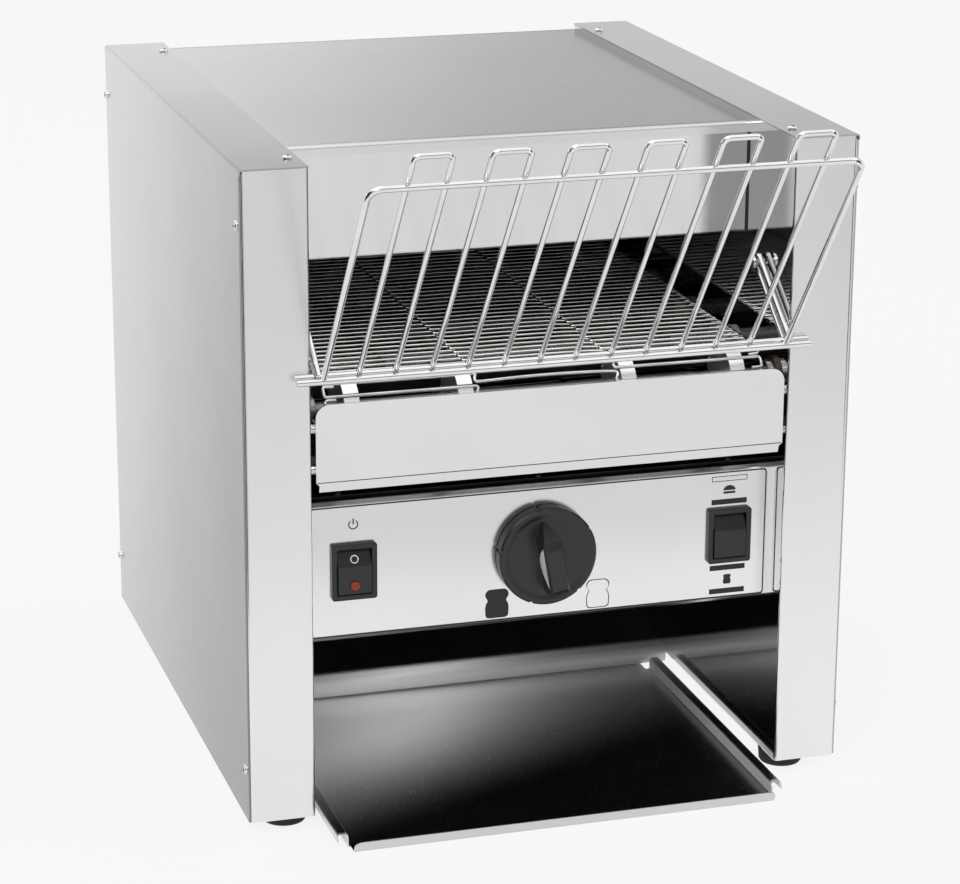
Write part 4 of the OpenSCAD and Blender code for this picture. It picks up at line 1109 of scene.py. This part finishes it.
class Heating(Assembly):
    """Quartz elements with their coils, ceramic holders and reflectors."""

    coil = CoilSizes()

    def coil_in(self, centre: Vector, length: float) -> list[Vector]:
        """Winds a coil inside one tube.

        Args:
            centre: The tube's middle.
            length: The tube's length.

        Returns:
            The points of the coil's wire.
        """
        c = self.coil
        radius = (c.across - c.thick) / 2 * MM
        wound = length - 2 * c.end * MM
        turns = int(wound / (c.pitch * MM))
        tip = Vector((length / 2 - c.inset * MM, 0, 0))
        points = [centre - tip]
        for k in range(turns * c.points + 1):
            t = 2 * math.pi * k / c.points
            x = -wound / 2 + wound * k / (turns * c.points)
            points.append(centre + Vector((x, radius * math.cos(t), radius * math.sin(t))))
        return points + [centre + tip]

    def tubes(self, node: str) -> list[tuple[Vector, float]]:
        """Finds the tubes of a packed row of elements.

        Args:
            node: The row's name.

        Returns:
            The middle and the length of each tube.
        """
        low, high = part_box(node)
        count = self.coil.tubes
        radius = (high.z - low.z) / 2
        first, last = low.y + radius, high.y - radius
        return [
            (Vector((0, first + (last - first) * i / (count - 1), low.z + radius)), high.x - low.x)
            for i in range(count)
        ]

    def build(self) -> None:
        """Builds the coils and dresses the oven."""
        for node in ("upper_elements", "lower_elements"):
            paths = [self.coil_in(centre, length) for centre, length in self.tubes(node)]
            coils = wire(f"{node}_coils", paths, self.coil.thick * MM, self.finishes["dark_steel"])
            self.add(coils, "dark_steel")
        self.dress("quartz", "upper_elements", "lower_elements")
        self.dress("ceramic", "element_holders", "heat_cutout")
        self.dress("reflector", "upper_reflector")
        # Painted shade: the lower reflector takes the near-black steel so that the belt's gaps read dark
        self.dress("dark_steel", "lower_reflector")


# ---- Controls -------------------------------------------------------------------------------


@dataclass(frozen=True)
class PrintSizes:
    """Places and sizes of the panel's print, in millimetres from the machine's datum.

    Attributes:
        half_width: Half the width of the border line.
        low: Lower edge of the border line.
        high: Upper edge of the border line.
        corner: Radius of the border's corners.
        line: Thickness of the border line.
        proud: How far the ink stands on the label.
        power_x: Place of the power switch.
        selector_x: Middle of the selector's bars.
        bar: Width and height of a selector bar.
        bars: Heights of the solid bars.
        open_bar: Height of the outlined bar.
        bar_line: Line of the outlined bar.
        tight: Outer and inner radius of the bars' corners.
        sign_z: Height of the signs over both switches.
        lower_sign_z: Height of the sign under the selector.
        dark_toast: Place of the solid slice.
        light_toast: Place of the outlined slice.
        toast_line: Line of the outlined slice.
        toast_z: Height of both slices.
    """

    half_width: float = 141.2
    low: float = 102.6
    high: float = 182.6
    corner: float = 2.0
    line: float = 0.8
    proud: float = 0.06
    power_x: float = -115.4
    selector_x: float = 117.5
    bar: Pair = (22.6, 3.3)
    bars: Triple = (163.7, 121.8, 106.9)
    open_bar: float = 178.2
    bar_line: float = 0.4
    tight: Pair = (0.2, 0.1)
    sign_z: float = 171.0
    lower_sign_z: float = 114.3
    dark_toast: float = -28.0
    light_toast: float = 35.0
    toast_line: float = 0.5
    toast_z: float = 113.4


@dataclass(frozen=True)
class SignSizes:
    """Sizes of the signs at the switches, in millimetres from a sign's middle.

    Attributes:
        ring: Outer radius and line of the standby ring.
        open: Where that ring starts and ends, in degrees clockwise from the top.
        stroke: Width and height of the standby stroke.
        stroke_up: Height of the stroke's middle.
        dome: Half the width and the height of the bun's upper half.
        dome_up: Height of the upper half's flat side.
        base: Width and height of the bun's lower half.
        base_up: Height of the lower half's middle.
        base_corner: Radius of its corners.
        small: Size of the small slice, as a share of the large ones.
        steps: Number of stretches in the ring and in the dome.
    """

    ring: Pair = (3.0, 0.7)
    open: Pair = (35.0, 325.0)
    steps: tuple[int, int] = (28, 20)
    stroke: Pair = (0.8, 3.6)
    stroke_up: float = 1.9
    dome: Pair = (3.9, 3.1)
    dome_up: float = -0.2
    base: Pair = (7.8, 1.4)
    base_up: float = -1.6
    base_corner: float = 0.6
    small: float = 0.34


@dataclass(frozen=True)
class BreadSlice:
    """A printed slice of bread: a block under a round crust, with a notch between them.

    Attributes:
        width: Its width in millimetres.
        height: Its height.
        crown: Radius of the crust.
        crust: Where the crust starts and ends, in degrees.
        foot: Radius of the lower corners.
        foot_end: Where those corners end, in degrees.
        notch: Depth of the notch.
        waist: Height of the notch over the middle, as a share of the slice's height.
        under: From the notch down to the side's upper end.
        belly: How far the side bends in at its upper end.
        low_belly: The same at its lower end, as a share of that.
        steps: Number of stretches in a lower corner, in a side and in the crust.
    """

    width: float = 14.5
    height: float = 18.0
    crown: float = 3.4
    crust: Pair = (-48.0, 90.0)
    foot: float = 2.6
    foot_end: float = 67.5
    notch: float = 1.5
    waist: float = 0.09
    under: float = 1.6
    belly: float = 0.5
    low_belly: float = 0.3
    steps: tuple[int, int, int] = (3, 6, 8)

    def outline(self, inset: float = 0.0, scale: float = 1.0) -> list[Pair]:
        """Draws the slice.

        Args:
            inset: How far the outline lies inside the slice's edge.
            scale: Its size, as a share of the full one.

        Returns:
            Pairs of x and z about the slice's middle.
        """
        half, top = self.width / 2 - inset, self.height / 2 - inset
        waist = self.height * self.waist
        low, high = self.foot - top, waist - self.under
        foot_steps, side_steps, crust_steps = self.steps
        points = [
            (half - self.foot + self.foot * math.sin(t), low - self.foot * math.cos(t))
            for t in turned(0.0, self.foot_end, foot_steps)
        ]
        for t in (k / side_steps for k in range(side_steps + 1)):
            bend = self.belly * (2 * t - 1) ** 2 * (self.low_belly if t < 0.5 else 1.0)
            points.append((half - bend, low + (high - low) * t))
        points.append((half - self.notch, waist))
        x, z = half - self.crown, top - self.crown
        points += [
            (x + self.crown * math.cos(t), z + self.crown * math.sin(t))
            for t in turned(*self.crust, crust_steps)
        ]
        points += [(-px, pz) for px, pz in reversed(points)]
        return [(scale * px, scale * pz) for px, pz in points]


@dataclass(frozen=True)
class KeySizes:
    """Sizes of a rocker key at rest, in millimetres from the machine's datum.

    Attributes:
        pivot_y: Place of its pin.
        pivot_z: Height of its pin.
        face: From the pin to the lower face.
        crease: Height of the crease over the pin.
        lean: How far the upper face leans in, in degrees.
        ring_up: From the crease up to the ring mark's middle.
        ring: Outer and inner radius of the ring mark.
        proud: How far the mark stands on the face.
        thick: Thickness of the mark.
        steps: Number of stretches in the mark.
    """

    pivot_y: float = 23.0
    pivot_z: float = 142.75
    face: float = 6.9
    crease: float = 3.8
    lean: float = 25.0
    ring_up: float = 4.3
    ring: Pair = (2.5, 1.85)
    proud: float = 0.08
    thick: float = 0.12
    steps: int = 32


class ControlPanel(Assembly):
    """The panel with its printed label, switches and speed control."""

    sizes = PrintSizes()
    sign = SignSizes()
    toast = BreadSlice()
    key = KeySizes()
    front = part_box("control_label")[0].y

    def printed(self, name: str, *shapes: tuple) -> None:
        """Prints flat shapes on the label, as one piece.

        Args:
            name: The piece's name.
            *shapes: Place, height and outline of each, and the inner outline if it is a line.
        """
        mesh = bmesh.new()
        proud = self.sizes.proud * MM
        for x, z, *outlines in shapes:
            rings = [
                [
                    Vector(((x + px) * MM, self.front - proud, DATUM.foot + (z + pz) * MM))
                    for px, pz in outline
                ]
                for outline in outlines
            ]
            add = band if len(rings) == 2 else plate
            add(mesh, *rings, Vector((0, proud, 0)))
        self.add(solid(name, mesh, self.finishes["ink_and_painted_shade"], False), "black_plastic")

    def print_label(self) -> None:
        """Prints the border, the selector's bars, and a dark and a light slice beside the knob."""
        s = self.sizes
        width, height = 2 * s.half_width, s.high - s.low
        inner = round_box(width - 2 * s.line, height - 2 * s.line, s.corner - s.line / 2)
        middle = (s.low + s.high) / 2
        self.printed("label_border", (0, middle, round_box(width, height, s.corner), inner))
        bar = round_box(*s.bar, s.tight[0], 2)
        hollow = round_box(*(side - 2 * s.bar_line for side in s.bar), s.tight[1], 2)
        solid_bars = [(s.selector_x, z, bar) for z in s.bars]
        self.printed("selector_bars", *solid_bars, (s.selector_x, s.open_bar, bar, hollow))
        full = self.toast.outline()
        light = (s.light_toast, s.toast_z, full, self.toast.outline(s.toast_line))
        self.printed("browning_signs", (s.dark_toast, s.toast_z, full), light)

    def print_signs(self) -> None:
        """Prints generic signs: standby over the power switch, a bun and a slice at the selector."""
        s, sign = self.sizes, self.sign
        ring_steps, dome_steps = sign.steps
        angles = turned(*sign.open, ring_steps)
        outer, line = sign.ring
        inner = outer - line
        ring = [(outer * math.sin(t), outer * math.cos(t)) for t in angles]
        ring += [(inner * math.sin(t), inner * math.cos(t)) for t in angles[::-1]]
        half, rise = sign.dome
        dome = [(half * math.cos(t), rise * math.sin(t)) for t in turned(0, 180, dome_steps)]
        self.printed(
            "switch_signs",
            (s.power_x, s.sign_z, ring),
            (s.power_x, s.sign_z + sign.stroke_up, round_box(*sign.stroke, s.tight[0], 2)),
            (s.selector_x, s.sign_z + sign.dome_up, dome),
            (s.selector_x, s.sign_z + sign.base_up, round_box(*sign.base, sign.base_corner, 3)),
            (s.selector_x, s.lower_sign_z, self.toast.outline(scale=sign.small)),
        )

    def off_mark(self) -> None:
        """Sets the white ring on the upper face of the power rocker."""
        k = self.key
        mesh = bmesh.new()
        lean = math.radians(k.lean)
        place = DATUM.at(
            self.sizes.power_x,
            k.pivot_y - k.face + k.ring_up * math.sin(lean),
            k.pivot_z + k.crease + k.ring_up * math.cos(lean),
        )
        facing = Matrix.Rotation(-lean, 3, "X")
        rings = [
            [
                place + facing @ Vector((r * math.cos(a) * MM, -k.proud * MM, r * math.sin(a) * MM))
                for a in (2 * math.pi * i / k.steps for i in range(k.steps))
            ]
            for r in k.ring
        ]
        band(mesh, rings[0], rings[1], facing @ Vector((0, k.thick * MM, 0)))
        self.add(solid("off_ring", mesh, self.finishes["white_mark"], False), "white_mark", "power_key")

    def build(self) -> None:
        """Builds the print and dresses the controls."""
        self.print_label()
        self.print_signs()
        self.off_mark()
        self.dress("panel_steel", "control_panel")
        self.dress("panel_overlay", "control_label")
        self.dress("black_plastic", "speed_knob", "speed_control")
        self.dress("shaft_steel", "knob_spindle")
        self.dress("white_mark", "knob_marker")
        self.dress("switch_plastic", "power_switch", "power_rocker", "selector_switch", "selector_rocker")
        self.dress("red_lens", "power_lamp")


# ---- Loading rack ---------------------------------------------------------------------------


@dataclass(frozen=True)
class RackSizes:
    """Sizes of the loading rack, in millimetres from the machine's datum.

    Attributes:
        width: Between the outer legs.
        legs: Number of legs.
        leg: Thickness of a leg.
        rail: Thickness of the top rail.
        sink: How far a leg and the rail are sunk into each other.
        rail_y: Place of the top rail.
        rail_z: Height of the top rail.
        rod_y: Place of the lower rods.
        rod_z: Height of the lower rods.
        on_rod: From a rod's middle to its bead's, back and up.
        bead: Radius of a weld bead.
        squashed: The bead's width, depth and height, in shares of that.
    """

    width: float = 278.0
    legs: int = 14
    leg: float = 3.3
    rail: float = 3.7
    sink: float = 0.3
    rail_y: float = -107.6
    rail_z: float = 397.6
    rod_y: float = -2.4
    rod_z: float = 268.0
    on_rod: Pair = (-1.1, 2.0)
    bead: float = 1.5
    squashed: Triple = (1.25, 1.0, 0.9)


class LoadingRack(Assembly):
    """The hinged wire rack with its welds."""

    body = "loading_rack"
    sizes = RackSizes()

    def bead(self, mesh: Mesh, place: Vector) -> None:
        """Adds one weld bead, wider across than it is high.

        Args:
            mesh: The beads in the making.
            place: The bead's middle.
        """
        size = self.sizes.bead * MM
        widths = [size * share for share in self.sizes.squashed]
        shape = Matrix.Translation(place) @ Matrix.Diagonal((*widths, 1.0))
        bmesh.ops.create_icosphere(mesh, subdivisions=2, radius=1.0, matrix=shape)

    def build(self) -> None:
        """Builds the weld beads and dresses the rack."""
        s = self.sizes
        self.dress("chrome_wire", "rack_rail", "rack_hairpins", "rack_rods", "rack_arms")
        self.dress("zinc_screw", "rack_pins")
        mesh = bmesh.new()
        step = s.width / (s.legs - 1)
        between = (s.rail + s.leg) / 2 - s.sink
        lean = math.atan2(-s.rail_y, s.rail_z - s.rod_z)
        touch = Vector((0, math.cos(lean) * between / 2, math.sin(lean) * between / 2))
        for i in range(1, s.legs - 1):
            x = -s.width / 2 + i * step
            self.bead(mesh, DATUM.at(x, s.rail_y + touch.y, s.rail_z + touch.z))
            self.bead(mesh, DATUM.at(x, s.rod_y + s.on_rod[0], s.rod_z + s.on_rod[1]))
        self.add(solid("rack_weld_beads", mesh, self.finishes["chrome_wire"]), "chrome_wire")


# ---- Discharge and electrics ----------------------------------------------------------------


class Discharge(Assembly):
    """The chute and the toast tray."""

    def build(self) -> None:
        """Dresses the chute and the tray."""
        self.dress("chute_steel", "discharge_chute")
        self.dress("tray_steel", "toast_tray")


class Electrics(Assembly):
    """Fan, terminal block and cable gland."""

    def build(self) -> None:
        """Dresses the electric pieces."""
        self.dress("fan_plastic", "fan_frame", "fan_rotor")
        self.dress("terminal_white", "terminal_block")
        self.dress("black_plastic", "cable_gland", "gland_nut")


# ---- Studio ---------------------------------------------------------------------------------


@dataclass(frozen=True)
class Lamp:
    """A large soft lamp.

    Attributes:
        name: Its name.
        place: Where it stands.
        aim: What it points at.
        width: Its width.
        height: Its height.
        power: Its power in watts.
        mirrored: Whether the camera and the metal see it.
    """

    name: str
    place: Triple
    aim: Triple
    width: float
    height: float
    power: float
    mirrored: bool = True


@dataclass(frozen=True)
class Studio:
    """Camera, floor, backdrop and lamps.

    Attributes:
        eye: Place of the camera.
        right: The camera's right, across the picture.
        down: The camera's down.
        focal: Focal length in picture widths.
        floor: Half the side of the floor.
        paper: Grey of the floor.
        flags: Place to the side, front end and rear end of each dark flag.
        flag_z: Lower and upper end of the flags.
        cloth: Grey and roughness of the flags.
        glow: Share of plain white in the floor that the camera and the metal see.
        ambient: Strength of the room's own soft light.
        behind: How high up the backdrop that metal sees behind the machine starts and ends to dim,
            and both levels.
        in_front: The same in front of the machine.
        turn: How far to the rear the one backdrop starts and ends to become the other.
        overhead: How high up the bright cloth overhead starts and ends to show, and both levels.
        lamps: The lamps.
    """

    eye: Triple = (-0.5453, -1.7775, 0.763)
    right: Triple = (0.9564, -0.2921, 0.0053)
    down: Triple = (-0.0823, -0.2867, -0.9545)
    focal: float = 3.2396
    floor: float = 30.0
    paper: float = 0.92
    flags: tuple[Triple, ...] = ((-0.5, -0.5, -0.1), (0.62, -0.8, -0.4))
    flag_z: Pair = (0.02, 0.6)
    cloth: Pair = (0.06, 0.9)
    glow: float = 0.84
    ambient: float = 0.5
    behind: Levels = (0.05, 0.7, 1.0, 0.2)
    in_front: Levels = (0.0, 0.22, 1.0, 0.3)
    turn: Pair = (-0.4, 0.4)
    overhead: Levels = (0.45, 0.62, 0.0, 1.2)
    lamps: tuple[Lamp, ...] = (
        Lamp("key_lamp", (-1.6, -1.9, 2.4), (0, 0, 0.2), 1.6, 1.6, 21.0),
        Lamp("fill_lamp", (2.2, -1.2, 1.5), (0, 0, 0.2), 1.4, 1.8, 8.0),
        Lamp("back_lamp", (-0.6, 2.2, 2.2), (0, 0, 0.2), 2.2, 1.2, 9.0),
        Lamp("tray_lamp", (-0.04, 0.015, 0.085), (-0.05, 0.02, 0.0), 0.22, 0.03, 0.055, False),
    )

    def camera(self) -> None:
        """Sets up the camera at its place, without shift or blur."""
        data = bpy.data.cameras.new("camera")
        data.sensor_width = 36.0
        data.lens = self.focal * data.sensor_width
        data.clip_end = 100.0
        right, down = Vector(self.right).normalized(), Vector(self.down).normalized()
        turn = Matrix((right, -down, -right.cross(down))).transposed()
        eye = placed("camera", data)
        eye.matrix_world = Matrix.Translation(self.eye) @ turn.to_4x4()
        bpy.context.scene.camera = eye

    def ground(self) -> None:
        """Lays a plain pale floor that keeps the machine's shadow."""
        mesh = bmesh.new()
        corners = [(x * self.floor, y * self.floor, 0.0) for x, y in ((-1, -1), (1, -1), (1, 1), (-1, 1))]
        mesh.faces.new([mesh.verts.new(corner) for corner in corners])
        material = bpy.data.materials.new("floor_white")
        material.use_nodes = True
        nodes = Nodes(material.node_tree)
        nodes.tree.nodes.clear()
        paper = nodes.feed(nodes.new("BsdfDiffuse"), {"Color": (*(self.paper,) * 3, 1.0)})
        glow = nodes.new("Emission").outputs["Emission"]
        share = nodes.combined("MULTIPLY", nodes.seen_directly(), self.glow)
        mix = nodes.feed(nodes.new("MixShader"), {0: share, 1: paper, 2: glow})
        nodes.tree.links.new(mix, nodes.new("OutputMaterial").inputs["Surface"])
        solid("studio_floor", mesh, material, False)

    def stand_flags(self) -> None:
        """Stands a small dark flag on either side, which only the metal sees, to edge the wires."""
        material = bpy.data.materials.new("flag_cloth")
        material.use_nodes = True
        nodes = Nodes(material.node_tree)
        grey, rough = self.cloth
        cloth = {"Base Color": (grey, grey, grey, 1.0), "Roughness": rough}
        nodes.feed(nodes.tree.nodes["Principled BSDF"], cloth)
        mesh = bmesh.new()
        low, high = self.flag_z
        for x, front, rear in self.flags:
            corners = ((front, low), (rear, low), (rear, high), (front, high))
            mesh.faces.new([mesh.verts.new((x, y, z)) for y, z in corners])
        flags = solid("studio_flags", mesh, material, False)
        flags.visible_camera = flags.visible_diffuse = flags.visible_shadow = False

    def surroundings(self) -> None:
        """Fills the room with plain soft light; metal sees it dimmer near the horizon."""
        world = bpy.data.worlds.new("room")
        bpy.context.scene.world = world
        world.use_nodes = True
        nodes = Nodes(world.node_tree)
        way = nodes.split(nodes.new("TexCoord").outputs["Generated"])
        behind = nodes.change(way["Z"], *self.behind)
        in_front = nodes.change(way["Z"], *self.in_front)
        sides = nodes.mixed(nodes.change(way["Y"], *self.turn), in_front, behind)
        level = nodes.combined("MAXIMUM", sides, nodes.change(way["Z"], *self.overhead))
        seen = nodes.mixed(nodes.new("LightPath").outputs["Is Camera Ray"], level, 1.0)
        light = nodes.mixed(nodes.seen_directly(), self.ambient, seen)
        white = {"Color": (1.0, 1.0, 1.0, 1.0), "Strength": light}
        nodes.feed(nodes.tree.nodes["Background"], white)

    def light(self) -> None:
        """Hangs the lamps."""
        for lamp in self.lamps:
            data = bpy.data.lights.new(lamp.name, "AREA")
            data.shape = "RECTANGLE"
            data.size, data.size_y = lamp.width, lamp.height
            data.energy = lamp.power
            piece = placed(lamp.name, data)
            piece.location = lamp.place
            way = Vector(lamp.aim) - Vector(lamp.place)
            piece.rotation_euler = way.to_track_quat("-Z", "Y").to_euler()
            piece.visible_camera = piece.visible_glossy = lamp.mirrored

    def build(self) -> None:
        """Sets up the whole studio."""
        bpy.context.scene.view_settings.view_transform = "Standard"
        self.camera()
        self.ground()
        self.stand_flags()
        self.surroundings()
        self.light()
        log.info("studio set up with %d lamps", len(self.lamps))


def main() -> None:
    """Builds the studio and every sub-assembly in order."""
    logging.basicConfig(level=logging.INFO, format="%(name)s: %(message)s")
    Studio().build()
    finishes = Finishes()
    for part in (Housing, WireBelt, Heating, ControlPanel, LoadingRack, Discharge, Electrics):
        part(finishes).build()
        log.info("%s built", part.__name__)


if __name__ == "__main__":
    main()
